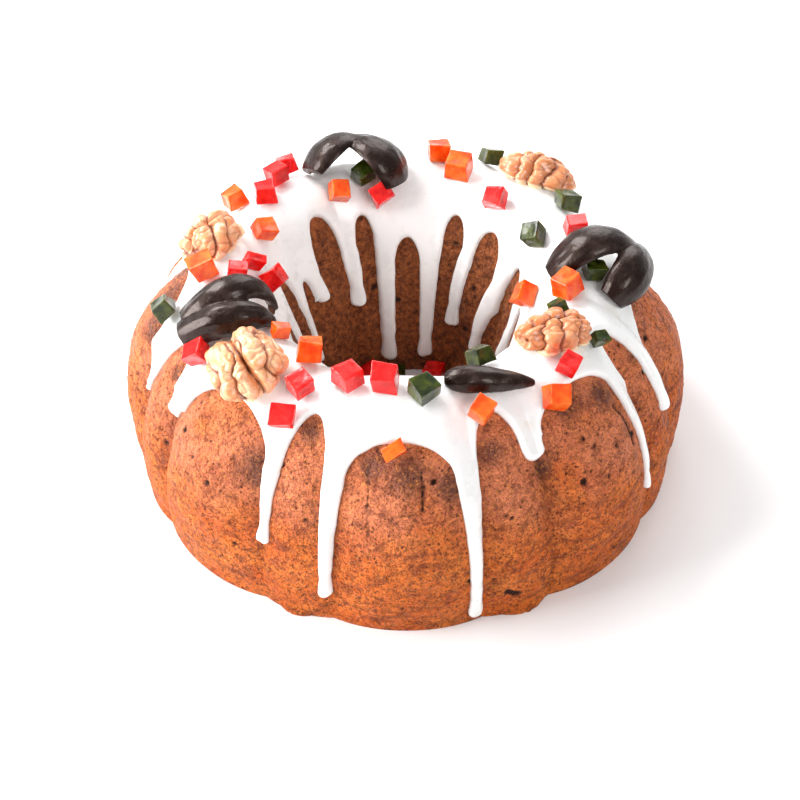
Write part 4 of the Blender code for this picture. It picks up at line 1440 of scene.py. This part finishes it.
    def skin(self, loops: list[np.ndarray], inside: np.ndarray, tree: KDTree, normals: np.ndarray,
             toppings: list[bpy.types.Object] | None) -> tuple[np.ndarray, list, list]:
        """One side of the skin.

        Args:
            loops: the edges' places.
            inside: places between them.
            tree: tree of the edges' points.
            normals: directions away from the skin.
            toppings: what the upper side is drawn up against, or None for the underside.

        Returns:
            Points, triangles and edge indices.
        """
        planes = [self.section.on_plane(*loop.T) for loop in loops]
        plane, faces, edges = self.plane_faces(planes, self.section.on_plane(*inside.T))
        azimuth, arc = self.section.off_plane(plane)
        base = self.section.place(azimuth, arc)
        lumps = self.section.lumps(azimuth, arc)
        if toppings is None:
            lift = np.array([self.sunk if edge is not None else self.under_lift for edge in edges])
            return self.section.place(azimuth, arc, lift + lumps), faces, edges
        depth = np.array([0.0 if edge is not None else max(0.0, self.depth_inside(point, tree, normals))
                          for edge, point in zip(edges, base)])
        share = np.clip(depth / self.rounding, 0.0, 1.0)
        full = self.thickness + self.waves.at(base) + self.beads(azimuth, arc)
        lift = self.sunk + (full - self.sunk) * np.sqrt(1.0 - (1.0 - share) ** 2)
        points = self.section.place(azimuth, arc, lift + lumps)
        lift += self.drawn_up(points, toppings) * smooth_share(depth, 0.0, 0.0015)
        return self.section.place(azimuth, arc, lift + lumps), faces, edges

    def beads(self, azimuth: np.ndarray, arc: np.ndarray) -> np.ndarray:
        """Extra thickness of the icing that has gathered at the drips' tips.

        Args:
            azimuth: degrees.
            arc: metres.

        Returns:
            Thicknesses in metres.
        """
        extra = np.zeros(len(arc))
        for drip in OUTER_DRIPS + INNER_DRIPS:
            sideways = np.radians(angle_between(azimuth, drip.azimuth)) * self.section.radius(arc)
            away = np.hypot(sideways, arc - drip.arc)
            extra = np.maximum(extra, self.bead_height * MM * np.exp(-(away / self.bead_reach) ** 2))
        return extra

    def drawn_up(self, points: np.ndarray, toppings: list[bpy.types.Object]) -> np.ndarray:
        """How far the icing climbs near the toppings.

        Args:
            points: points of the skin.
            toppings: the pieces.

        Returns:
            Heights in metres.
        """
        joined = bmesh.new()
        for piece in toppings:
            joined.from_mesh(piece.data)
        tree = BVHTree.FromBMesh(joined)
        joined.free()
        rise = np.zeros(len(points))
        for index, point in enumerate(points):
            distance = tree.find_nearest(point, self.meniscus_reach)[3]
            if distance is not None:
                rise[index] = self.meniscus * (1.0 - distance / self.meniscus_reach) ** 2
        return rise

    def closed(self, top: tuple, bottom: tuple) -> tuple[np.ndarray, list]:
        """Join both sides of the skin along their edges.

        Args:
            top: points, triangles and edge indices of the upper side.
            bottom: the same of the underside.

        Returns:
            All points, and the faces.
        """
        points, faces, edges = top
        shared = {edge: index for index, edge in enumerate(edges) if edge is not None}
        under, under_faces, under_edges = bottom
        renamed, added = [], []
        for index, edge in enumerate(under_edges):
            if edge in shared:
                renamed.append(shared[edge])
            else:
                renamed.append(len(points) + len(added))
                added.append(under[index])
        turned = [tuple(renamed[corner] for corner in reversed(face)) for face in under_faces]
        turned = [face for face in turned if len(set(face)) == 3]
        return np.vstack([points, np.array(added)]), faces + turned

    def stain(self, points: np.ndarray, stains: Sequence[tuple[float, float, float, float]]) -> np.ndarray:
        """Strength of some stains.

        Args:
            points: rows of x, y, z.
            stains: the stains' azimuths, arcs, radii and strengths.

        Returns:
            A share for each point.
        """
        strength = np.zeros(len(points))
        rough = 1.0 + 0.5 * lattice_noise(points, 0.002, 81)
        for azimuth, arc, radius, full in stains:
            away = np.linalg.norm(points - self.section.spot(azimuth, arc), axis=1) / (radius * MM)
            strength = np.maximum(strength, full * np.exp(-(away * rough) ** 2))
        return strength


@dataclass
class CandyDie:
    """One die of candied fruit: its corners are the node's, with worn edges and faces that have sunk in."""

    node: str
    grades: tuple[float, ...] = (-1.0, -0.96, -0.86, -0.6, -0.3, 0.0, 0.3, 0.6, 0.86, 0.96, 1.0)
    rounding: float = 0.11
    sunken: float = 0.00030
    least_trimmed: float = 0.02
    trimmed: float = 0.24
    sinking: Place = (-0.2, 1.5)

    def corners(self) -> np.ndarray:
        """The node's eight corners, ordered by the signs of the cube's directions.

        Returns:
            An array of shape 2, 2, 2, 3.
        """
        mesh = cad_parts[self.node].data
        bm = bmesh.new()
        bm.from_mesh(mesh)
        bmesh.ops.remove_doubles(bm, verts=bm.verts, dist=1e-6)
        points = np.array([vert.co for vert in bm.verts])
        normals = np.array([face.normal for face in bm.faces])
        areas = np.array([face.calc_area() for face in bm.faces])
        bm.free()
        axes = []
        for normal, area in sorted(zip(normals.tolist(), areas), key=lambda item: -item[1]):
            if all(abs(np.dot(normal, axis)) < 0.6 for axis in axes):
                axes.append(np.array(normal))
        axes = sorted(axes[:3], key=lambda axis: -abs(axis[2]))
        if np.dot(np.cross(axes[0], axes[1]), axes[2]) < 0:
            axes[2] = -axes[2]
        centre = points.mean(axis=0)
        signs = ((points - centre) @ np.array(axes).T > 0).astype(int)
        made = np.full((2, 2, 2, 3), np.nan)
        for point, sign in zip(points, signs):
            made[tuple(sign)] = point
        if len(points) != 8 or np.isnan(made).any():
            raise ValueError(f"{self.node} isn't a die of eight corners")
        return made

    def grid(self) -> tuple[np.ndarray, list[tuple[int, ...]]]:
        """Points and faces of a finely graded cube from -1 to 1.

        Returns:
            Rows of x, y, z, and quads whose corners run counter-clockwise from outside.
        """
        index: dict[tuple[float, ...], int] = {}
        faces = []

        def corner(spot: tuple[float, ...]) -> int:
            """Number of a grid point, made at its first use."""
            return index.setdefault(spot, len(index))

        for axis, sign in product(range(3), (-1.0, 1.0)):
            for u0, u1 in zip(self.grades, self.grades[1:]):
                for v0, v1 in zip(self.grades, self.grades[1:]):
                    ring = [(u0, v0), (u1, v0), (u1, v1), (u0, v1)]
                    quad = []
                    for u, v in ring if sign > 0 else ring[::-1]:
                        spot = [0.0, 0.0, 0.0]
                        spot[axis], spot[(axis + 1) % 3], spot[(axis + 2) % 3] = sign, u, v
                        quad.append(corner(tuple(spot)))
                    faces.append(tuple(quad))
        return np.array(list(index)), faces

    def build(self, material: bpy.types.Material) -> bpy.types.Object:
        """Make the die.

        Args:
            material: its finish.

        Returns:
            The piece.
        """
        unit, faces = self.grid()
        number = int(self.node.split("_")[-1])
        core = np.clip(unit, -1 + self.rounding, 1 - self.rounding)
        away = unit - core
        rounded = core + away / np.linalg.norm(away, axis=1)[:, None] * self.rounding
        rng = random.Random(SEED + number)
        corners = self.corners()
        middle = corners.reshape(-1, 3).mean(axis=0)
        for sign in product((0, 1), repeat=3):
            corners[sign] += (middle - corners[sign]) * rng.uniform(self.least_trimmed, self.trimmed)
        points = np.zeros_like(rounded)
        for a, b, c in product((0, 1), repeat=3):
            weight = np.prod(np.where((a, b, c), 0.5 + rounded / 2, 0.5 - rounded / 2), axis=1)
            points += weight[:, None] * corners[a, b, c]
        centre = points.mean(axis=0)
        out = (points - centre) / np.linalg.norm(points - centre, axis=1)[:, None]
        inward = np.zeros(len(unit))
        for axis, sign in product(range(3), (-1.0, 1.0)):
            on_face = np.isclose(unit[:, axis], sign)
            u, v = unit[:, (axis + 1) % 3], unit[:, (axis + 2) % 3]
            inward += on_face * (1 - u ** 2) * (1 - v ** 2) * self.sunken * rng.uniform(*self.sinking)
        points -= out * inward[:, None]
        waves = (Wave(0.0034, number + 100, 1, 0.16), Wave(0.0010, number + 200, 1, 0.05))
        points += out * sum(wave.at(points) for wave in waves)[:, None]
        piece = add_piece(self.node.replace("candied", "die"), points, faces, material)
        return settle_piece(piece, self.node)


@dataclass
class WalnutHalf:
    """A walnut half, round side up: a deep middle cleft between two lobes of winding folds."""

    section: RingSection
    name: str
    azimuth: float
    arc: float
    turn: float
    lean: float
    size: tuple[float, float, float]
    columns: int = 200
    rows: int = 84
    tilts: tuple[float, float] = (-32.0, 88.0)
    cleft_width: float = 0.11
    cleft_depth: float = 0.34
    fold_depth: float = 0.27
    fold_turns: float = 7.0
    fold_slant: float = 3.0
    steep: float = 0.9
    fold_angle: float = 0.0
    roast: float = 0.0
    shrunk: tuple[float, float, float] = (0.93, 0.93, 0.86)
    lift: float = 0.005

    def directions(self) -> np.ndarray:
        """Directions of the grid's points, row by row from the flat side to the top.

        Returns:
            Rows of unit vectors.
        """
        tilt = np.radians(np.linspace(*self.tilts, self.rows))[:, None]
        turn = (2 * math.pi * np.arange(self.columns) / self.columns)[None, :]
        parts = (np.cos(tilt) * np.cos(turn), np.cos(tilt) * np.sin(turn), np.sin(tilt) + 0.0 * turn)
        return np.stack(parts, axis=2).reshape(-1, 3)

    def radius(self, direction: np.ndarray) -> tuple[np.ndarray, np.ndarray]:
        """Share of the full radius in each direction.

        Args:
            direction: rows of unit vectors.

        Returns:
            The radius, and how deep in a crease the point lies from 0 to 1.
        """
        phase = random.Random(SEED + len(self.name)).uniform(0.0, math.pi)
        seed = 300 + len(self.name)
        x, y, z = direction.T
        bend = 0.045 * lattice_noise(direction, 0.35, seed)
        cleft = np.exp(-((y + bend) / self.cleft_width) ** 2) * np.clip(z, 0.0, None) ** 0.5
        side = np.where(y > 0, 1.0, -1.0)
        warp = 1.15 * lattice_noise(direction, 0.60, seed + 1)
        warp += 0.35 * lattice_noise(direction, 0.28, seed + 2)
        aim = math.radians(self.fold_angle)
        along = x * math.cos(aim) + y * math.sin(aim)
        winding = np.abs(np.sin(self.fold_turns * along + side * self.fold_slant * z + phase + warp))
        plump = winding ** 0.45 * (0.62 + 0.38 * np.abs(y))
        big = lattice_noise(direction, 0.75, seed + 5)
        small = np.abs(lattice_noise(direction, 0.38, seed + 3))
        fine = lattice_noise(direction, 0.11, seed + 4)
        shares = 1.02 - self.cleft_depth * cleft - self.fold_depth * (1.0 - plump) + 0.14 * big
        shares += 0.060 * np.minimum(small * 2.0, 1.0) + 0.010 * fine - 0.03
        crease = np.maximum(smooth_share(winding, 0.36, 0.04), smooth_share(small, 0.10, 0.0) * 0.55)
        crease = np.maximum(crease, smooth_share(cleft, 0.45, 0.95))
        return shares, crease

    def resting(self, points: np.ndarray) -> np.ndarray:
        """Turn points to lie on the ring at the half's place.

        Args:
            points: rows about the half's own middle.

        Returns:
            The same points in the cake's frame.
        """
        out = float(np.interp(self.arc, self.section.arcs, self.section.normal_radii))
        up = float(np.interp(self.arc, self.section.arcs, self.section.normal_heights))
        turn = math.radians(self.azimuth)
        normal = Vector((out * math.cos(turn), out * math.sin(turn), up)).normalized()
        across = Vector((0.0, 1.0, 0.0)) if abs(normal.x) > self.steep else Vector((1.0, 0.0, 0.0))
        across = (across - normal * across.dot(normal)).normalized()
        base = Matrix((across, normal.cross(across), normal)).transposed()
        base = base @ Matrix.Rotation(math.radians(self.turn), 3, "Z")
        base = base @ Matrix.Rotation(math.radians(self.lean), 3, "X")
        return points @ np.array(base).T + self.section.spot(self.azimuth, self.arc, self.lift)

    def shaped(self, direction: np.ndarray) -> tuple[np.ndarray, np.ndarray]:
        """Points of the half in given directions.

        Args:
            direction: rows of unit vectors.

        Returns:
            Points about the half's own middle, and how deep in a crease each lies from 0 to 1.
        """
        shares, crease = self.radius(direction)
        x, y, z = (direction * shares[:, None]).T
        length, width, height = self.size
        upward = np.where(z > 0, height, height / 2)
        return np.stack([x * length / 2, y * width / 2, z * upward], axis=1), crease

    def build(self, material: bpy.types.Material) -> bpy.types.Object:
        """Make the half.

        Args:
            material: its finish.

        Returns:
            The piece.
        """
        directions = self.directions()
        points, crease = self.shaped(directions)
        rim = np.concatenate([smooth_share(directions[:, 2], -0.02, -0.22), [1.0, 0.0]])
        ends = [points[:self.columns].mean(axis=0), points[-self.columns:].mean(axis=0)]
        points = np.vstack([points, *ends])
        full = self.resting(points)
        shift = move_to_node(full, self.name)[0] - full[0]
        sunk = np.array([0.0, 0.0, (1.0 - self.shrunk[2]) * self.size[2] / 2])
        points = self.resting(points * np.array(self.shrunk) - sunk) + shift
        crease = np.concatenate([crease, [0.0, 0.6]])
        count = self.columns
        faces = quads_between(0, self.rows, count)
        last = (self.rows - 1) * count
        faces += [((c + 1) % count, c, self.rows * count) for c in range(count)]
        faces += [(last + c, last + (c + 1) % count, self.rows * count + 1) for c in range(count)]
        # The crease mark carries painted shade in the folds and the cleft.
        piece = add_piece(self.name.replace("walnut", "nut"), points, faces, material,
                          {"crease": crease, "rim": rim, "roast": np.full(len(points), self.roast)})
        return settle_piece(piece, self.name)


class Strip(NamedTuple):
    """A curved strip of prune.

    Its start, middle and end are an azimuth, arc and lift each. Taper is where the swell starts and
    stops on a half wave, fullness how blunt the swell is, and drawn how much thinner its end gets.
    """

    start: tuple[float, float, float]
    middle: tuple[float, float, float]
    end: tuple[float, float, float]
    width: float
    taper: tuple[float, float] = (0.13, 0.80)
    wider: float = 0.0012
    fullness: float = 0.7
    drawn: float = 0.0


@dataclass(frozen=True)
class StripShape:
    """Cross-section of a strip, and how finely it is made.

    Wall and arch are in metres, side_share is how wide the edges are, and foot how much the start thickens.
    """

    wall: float
    arch: float
    rings: int
    arc_points: int
    side_share: float = 0.6
    foot: float = 0.0


@dataclass
class Prune:
    """A pitted prune cut open lengthwise: wrinkled strips, hollow side in, joined where they meet."""

    section: RingSection
    name: str
    strips: tuple[Strip, ...]
    solid: StripShape = StripShape(0.0034, 0.0058, 9, 5)
    real: StripShape = StripShape(0.0024, 0.0064, 64, 25, 0.85, 0.75)
    voxel: float = 0.00040
    # Heights in millimetres of the lengthwise folds, the small ones and the lumps.
    creases: tuple[float, float, float] = (0.26, 0.12, 0.24)

    def strip_rings(self, strip: Strip, shape: StripShape, centre: np.ndarray) -> np.ndarray:
        """Rings of points along a strip, in each of which the outer half comes first.

        Args:
            strip: the strip.
            shape: its cross-section.
            centre: middle of the prune's foot, which the hollow side faces.

        Returns:
            An array of rings by points by 3.
        """
        start, middle, end = (self.section.spot(*place) for place in strip[:3])
        control = 2 * middle - (start + end) / 2
        made = []
        turns = np.linspace(0.0, math.pi, shape.arc_points)[:, None]
        for t in np.linspace(0.0, 1.0, shape.rings):
            point = start * (1 - t) ** 2 + control * (2 * t * (1 - t)) + end * t ** 2
            along = (control - start) * (1 - t) + (end - control) * t
            along /= np.linalg.norm(along)
            out = point - centre
            out -= along * out.dot(along)
            out /= np.linalg.norm(out)
            across = np.cross(along, out)
            low, high = strip.taper
            swell = math.sin(math.pi * (low + (high - low) * t)) ** strip.fullness * (1.0 - strip.drawn * t)
            half, rise = (strip.width + strip.wider) / 2 * swell, shape.arch * swell
            thick = shape.wall * (0.8 + 0.2 * swell) * (1.0 + shape.foot * (1.0 - t) ** 4)
            outer = point - across * half * np.cos(turns) + out * rise * np.sin(turns)
            back = turns[-2:0:-1]
            inner = (point - across * (half - thick * shape.side_share) * np.cos(back)
                     + out * (rise * np.sin(back) - thick * np.sqrt(np.sin(back))))
            made.append(np.vstack([outer, inner]))
        return np.array(made)

    def strip_mesh(self, rings: np.ndarray, base: int) -> list[tuple[int, ...]]:
        """Faces of a closed strip.

        Args:
            rings: rings by points by 3.
            base: number of its first point.

        Returns:
            Corner indices of each face.
        """
        count = rings.shape[1]
        faces = quads_between(base, len(rings), count)
        last = base + (len(rings) - 1) * count
        faces.append(tuple(base + c for c in reversed(range(count))))
        faces.append(tuple(last + c for c in range(count)))
        return faces

    def joined(self, points: np.ndarray, faces: list[tuple[int, ...]]) -> tuple[np.ndarray, list]:
        """Melt overlapping strips into one closed skin.

        Args:
            points: the strips' points.
            faces: their faces.

        Returns:
            Points and faces of the skin.
        """
        mesh = bpy.data.meshes.new("strips")
        mesh.from_pydata(points.tolist(), [], faces)
        bm = bmesh.new()
        bm.from_mesh(mesh)
        bmesh.ops.recalc_face_normals(bm, faces=bm.faces)
        bm.to_mesh(mesh)
        bm.free()
        item = bpy.data.objects.new("strips", mesh)
        bpy.context.scene.collection.objects.link(item)
        remesh = item.modifiers.new("skin", "REMESH")
        remesh.mode = "VOXEL"
        remesh.voxel_size = self.voxel
        smooth = item.modifiers.new("even", "SMOOTH")
        smooth.iterations = 2
        bpy.context.view_layer.update()
        evaluated = item.evaluated_get(bpy.context.evaluated_depsgraph_get())
        skin = bpy.data.meshes.new_from_object(evaluated)
        made = np.array([vert.co for vert in skin.vertices])
        quads = [tuple(face.vertices) for face in skin.polygons]
        bpy.data.objects.remove(item, do_unlink=True)
        bpy.data.meshes.remove(skin)
        bpy.data.meshes.remove(mesh)
        return made, quads

    def build(self, material: bpy.types.Material) -> bpy.types.Object:
        """Make the prune.

        Args:
            material: its finish.

        Returns:
            The piece.
        """
        centre = np.mean([self.section.spot(*place[:2]) for strip in self.strips
                          for place in (strip.start, strip.end)], axis=0)
        coarse = np.vstack([self.strip_rings(Strip(*strip[:4], wider=0.0), self.solid, centre).reshape(-1, 3)
                            for strip in self.strips])
        points, faces, sides = [], [], []
        for number, strip in enumerate(self.strips):
            rings = self.wrinkled(self.strip_rings(strip, self.real, centre), number)
            faces += self.strip_mesh(rings, sum(len(item) for item in points))
            points.append(rings.reshape(-1, 3))
            sides.append(np.tile(np.arange(rings.shape[1]) >= self.real.arc_points, len(rings)))
        made, quads = self.joined(np.vstack(points), faces)
        tree = tree_of(np.vstack(points))
        inside = np.concatenate(sides)
        marks = {"flesh": np.array([float(inside[tree.find(point)[1]]) for point in made])}
        shift = move_to_node(coarse, self.name)[0] - coarse[0]
        piece = add_piece(self.name.replace("prune", "plum"), made + shift, quads, material, marks)
        return settle_piece(piece, self.name)

    def wrinkled(self, rings: np.ndarray, number: int) -> np.ndarray:
        """Crease the strip's skin, mostly lengthwise.

        Args:
            rings: rings by points by 3.
            number: the strip's number.

        Returns:
            The creased rings.
        """
        middles = rings.mean(axis=1, keepdims=True)
        out = rings - middles
        out /= np.linalg.norm(out, axis=2, keepdims=True)
        count = rings.shape[1]
        turn = 2 * math.pi * np.arange(count) / count
        along = np.linspace(0.0, 0.030, len(rings))
        seed = 400 + 10 * number + len(self.name)
        spots = np.stack(np.broadcast_arrays(0.006 * np.cos(turn)[None, :], 0.006 * np.sin(turn)[None, :],
                                             along[:, None] * 0.28), axis=2).reshape(-1, 3)
        folds = 1.0 - 2.0 * np.abs(lattice_noise(spots, 0.0030, seed))
        small = 1.0 - 2.0 * np.abs(lattice_noise(spots, 0.0015, seed + 1))
        lumps = lattice_noise(rings.reshape(-1, 3), 0.0060, seed + 2)
        height = sum(full * part for full, part in zip(self.creases, (folds, small, lumps))) * MM
        return rings + out * height.reshape(len(rings), count, 1)


@dataclass(frozen=True)
class FloorFinish:
    """Plain pale studio floor."""

    colour: Colour = (0.93, 0.93, 0.93)
    roughness: float = 0.75
    specular: float = 0.2

    def material(self) -> bpy.types.Material:
        """Build the material.

        Returns:
            The material.
        """
        made = Finish("pale_floor")
        made.surface(Base_Color=self.colour, Roughness=self.roughness, Specular_IOR_Level=self.specular)
        return made.material


class SoftLight(NamedTuple):
    """A soft square light: its name, its place, its side in metres and its power in watts."""

    name: str
    place: Colour
    size: float
    watts: float


@dataclass
class Studio:
    """The floor, the soft lights and the camera at the photograph's angle."""

    target: Colour = (-0.0022, 0.016, 0.0)
    distance: float = 0.7288
    elevation: float = 42.81
    roll: float = -0.43
    lens: float = 81.2
    sensor: float = 36.0
    floor_half: float = 3.0
    # The white surroundings: darkest and brightest strength, the way to the bright side, and its range.
    strengths: tuple[float, float] = (0.20, 0.74)
    bright_side: Colour = (-0.45, 0.75, 0.50)
    bright_range: tuple[float, float] = (-0.7, 0.9)
    lit_spot: Colour = (0.0, 0.0, 0.04)
    lights: tuple[SoftLight, ...] = (
        SoftLight("key", (-0.60, 0.50, 0.90), 0.5, 12.5), SoftLight("side", (-1.00, -0.20, 0.42), 0.6, 17.0),
        SoftLight("fill", (0.60, -0.90, 0.80), 0.5, 7.0), SoftLight("back", (0.25, 0.95, 0.70), 0.7, 5.0),
    )

    def add_light(self, soft: SoftLight) -> None:
        """Hang a light that faces the cake.

        Args:
            soft: the light.
        """
        data = bpy.data.lights.new(soft.name, "AREA")
        data.shape = "SQUARE"
        data.size = soft.size
        data.energy = soft.watts
        light = bpy.data.objects.new(soft.name, data)
        light.location = soft.place
        towards = Vector(self.lit_spot) - Vector(soft.place)
        light.rotation_euler = towards.to_track_quat("-Z", "Y").to_euler()
        bpy.context.scene.collection.objects.link(light)

    def add_camera(self) -> None:
        """Stand the camera where the photograph was taken from."""
        tilt = math.radians(self.elevation)
        back = Vector((0.0, -math.cos(tilt), math.sin(tilt)))
        data = bpy.data.cameras.new("camera")
        data.lens = self.lens
        data.sensor_width = self.sensor
        camera = bpy.data.objects.new("camera", data)
        across = Vector((1.0, 0.0, 0.0))
        turned = Matrix((across, back.cross(across), back)).transposed().to_4x4()
        place = Matrix.Translation(Vector(self.target) + back * self.distance)
        camera.matrix_world = place @ turned @ Matrix.Rotation(math.radians(self.roll), 4, "Z")
        bpy.context.scene.collection.objects.link(camera)
        bpy.context.scene.camera = camera

    def add_surroundings(self) -> None:
        """Surround the cake with white, brighter on one side."""
        world = bpy.data.worlds.new("white_studio")
        world.use_nodes = True
        nodes, links = world.node_tree.nodes, world.node_tree.links
        towards = nodes.new("ShaderNodeVectorMath")
        towards.operation = "DOT_PRODUCT"
        towards.inputs[1].default_value = self.bright_side
        links.new(nodes.new("ShaderNodeTexCoord").outputs["Generated"], towards.inputs[0])
        level = nodes.new("ShaderNodeMapRange")
        numbers = (*self.bright_range, *self.strengths)
        for name, number in zip(("From Min", "From Max", "To Min", "To Max"), numbers):
            level.inputs[name].default_value = number
        links.new(towards.outputs["Value"], level.inputs["Value"])
        links.new(level.outputs["Result"], nodes["Background"].inputs["Strength"])
        nodes["Background"].inputs["Color"].default_value = (1.0, 1.0, 1.0, 1.0)
        bpy.context.scene.world = world

    def build(self) -> None:
        """Set up the floor, the lights, the white surroundings and the camera."""
        corners = np.array([(-1, -1, 0), (1, -1, 0), (1, 1, 0), (-1, 1, 0)]) * self.floor_half
        floor = add_piece("floor", corners, [(0, 1, 2, 3)], FloorFinish().material())
        self.add_surroundings()
        bpy.context.scene.view_settings.view_transform = "Standard"
        for light in self.lights:
            self.add_light(light)
        self.add_camera()


def build_candies() -> list[bpy.types.Object]:
    """Make every die of candied fruit that the model has.

    Returns:
        The dice.
    """
    finish = CandyFinish()
    materials = {colour.name.lower(): finish.material(colour) for colour in CandyColour}
    nodes = sorted(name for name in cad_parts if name.startswith("candied_"))
    return [CandyDie(node).build(materials[node.split("_")[1]]) for node in nodes]


def build_walnuts(section: RingSection) -> list[bpy.types.Object]:
    """Make the four walnut halves.

    Args:
        section: the ring that they lie on.

    Returns:
        The halves.
    """
    material = WalnutFinish().material()
    halves = (
        WalnutHalf(section, "walnut_front_left", 224.5, 0.0900, 118.0, 0.0, (0.035, 0.031, 0.0130),
                   fold_angle=78.0, fold_turns=5.6, fold_slant=0.6, shrunk=(0.86, 0.90, 0.92)),
        WalnutHalf(section, "walnut_left", 168.0, 0.0930, 38.0, 6.0, (0.031, 0.026, 0.0120),
                   fold_turns=5.5, shrunk=(0.86, 0.86, 0.86)),
        WalnutHalf(section, "walnut_back_right", 47.0, 0.0905, -8.0, 0.0, (0.032, 0.024, 0.0130),
                   fold_slant=0.5, cleft_depth=0.10, shrunk=(1.0, 0.80, 0.80), roast=0.54),
        WalnutHalf(section, "walnut_front_right", 321.6, 0.0998, 14.0, -6.0, (0.030, 0.022, 0.0115),
                   fold_turns=6.0, fold_slant=0.8, cleft_depth=0.15, shrunk=(1.0, 0.84, 0.80), roast=0.66),
    )
    return [half.build(material) for half in halves]


def build_prunes(section: RingSection) -> list[bpy.types.Object]:
    """Make the four prunes.

    Args:
        section: the ring that they lie on.

    Returns:
        The prunes.
    """
    material = PruneFinish().material()
    prunes = {
        "prune_back": (
            Strip((122.0, 0.1010, 0.0040), (113.8, 0.0985, 0.0085), (105.5, 0.0965, 0.0105), 0.0145,
                  (0.20, 0.88), 0.0070),
            Strip((93.0, 0.1100, 0.0040), (97.8, 0.1035, 0.0085), (106.0, 0.0970, 0.0105), 0.0150,
                  (0.20, 0.88), 0.0075),
        ),
        "prune_left": (
            Strip((197.0, 0.1165, 0.0040), (200.5, 0.1010, 0.0080), (200.5, 0.0845, 0.0050), 0.0130,
                  (0.02, 0.74), 0.0012),
            Strip((212.0, 0.1090, 0.0035), (209.0, 0.0975, 0.0060), (202.5, 0.0810, 0.0045), 0.0120,
                  (0.02, 0.74), 0.0008),
        ),
        "prune_right": (
            Strip((357.5, 0.1085, 0.0040), (360.5, 0.0975, 0.0115), (365.0, 0.0835, 0.0080), 0.0160,
                  (0.20, 0.90), 0.0020),
            Strip((347.5, 0.0900, 0.0035), (355.0, 0.0865, 0.0095), (365.5, 0.0820, 0.0080), 0.0150,
                  (0.16, 0.86), 0.0024),
        ),
        "prune_front": (
            Strip((281.5, 0.1000, 0.0045), (293.0, 0.0965, 0.0045), (305.5, 0.0905, 0.0030), 0.0120,
                  (0.02, 0.98), 0.0006, 0.42, 0.50),
        ),
    }
    return [Prune(section, name, strips).build(material) for name, strips in prunes.items()]


def main() -> None:
    """Build the cake, its toppings, its icing and the studio."""
    logging.basicConfig(level=logging.INFO, format="%(name)s: %(message)s")
    section = RingSection()
    toppings = build_candies() + build_walnuts(section) + build_prunes(section)
    settle_piece(Crust(section, CrustFinish()).build(), "cake")
    settle_piece(Icing(section, IcingFinish()).build(toppings), "icing")
    Studio().build()


if __name__ == "__main__":
    main()
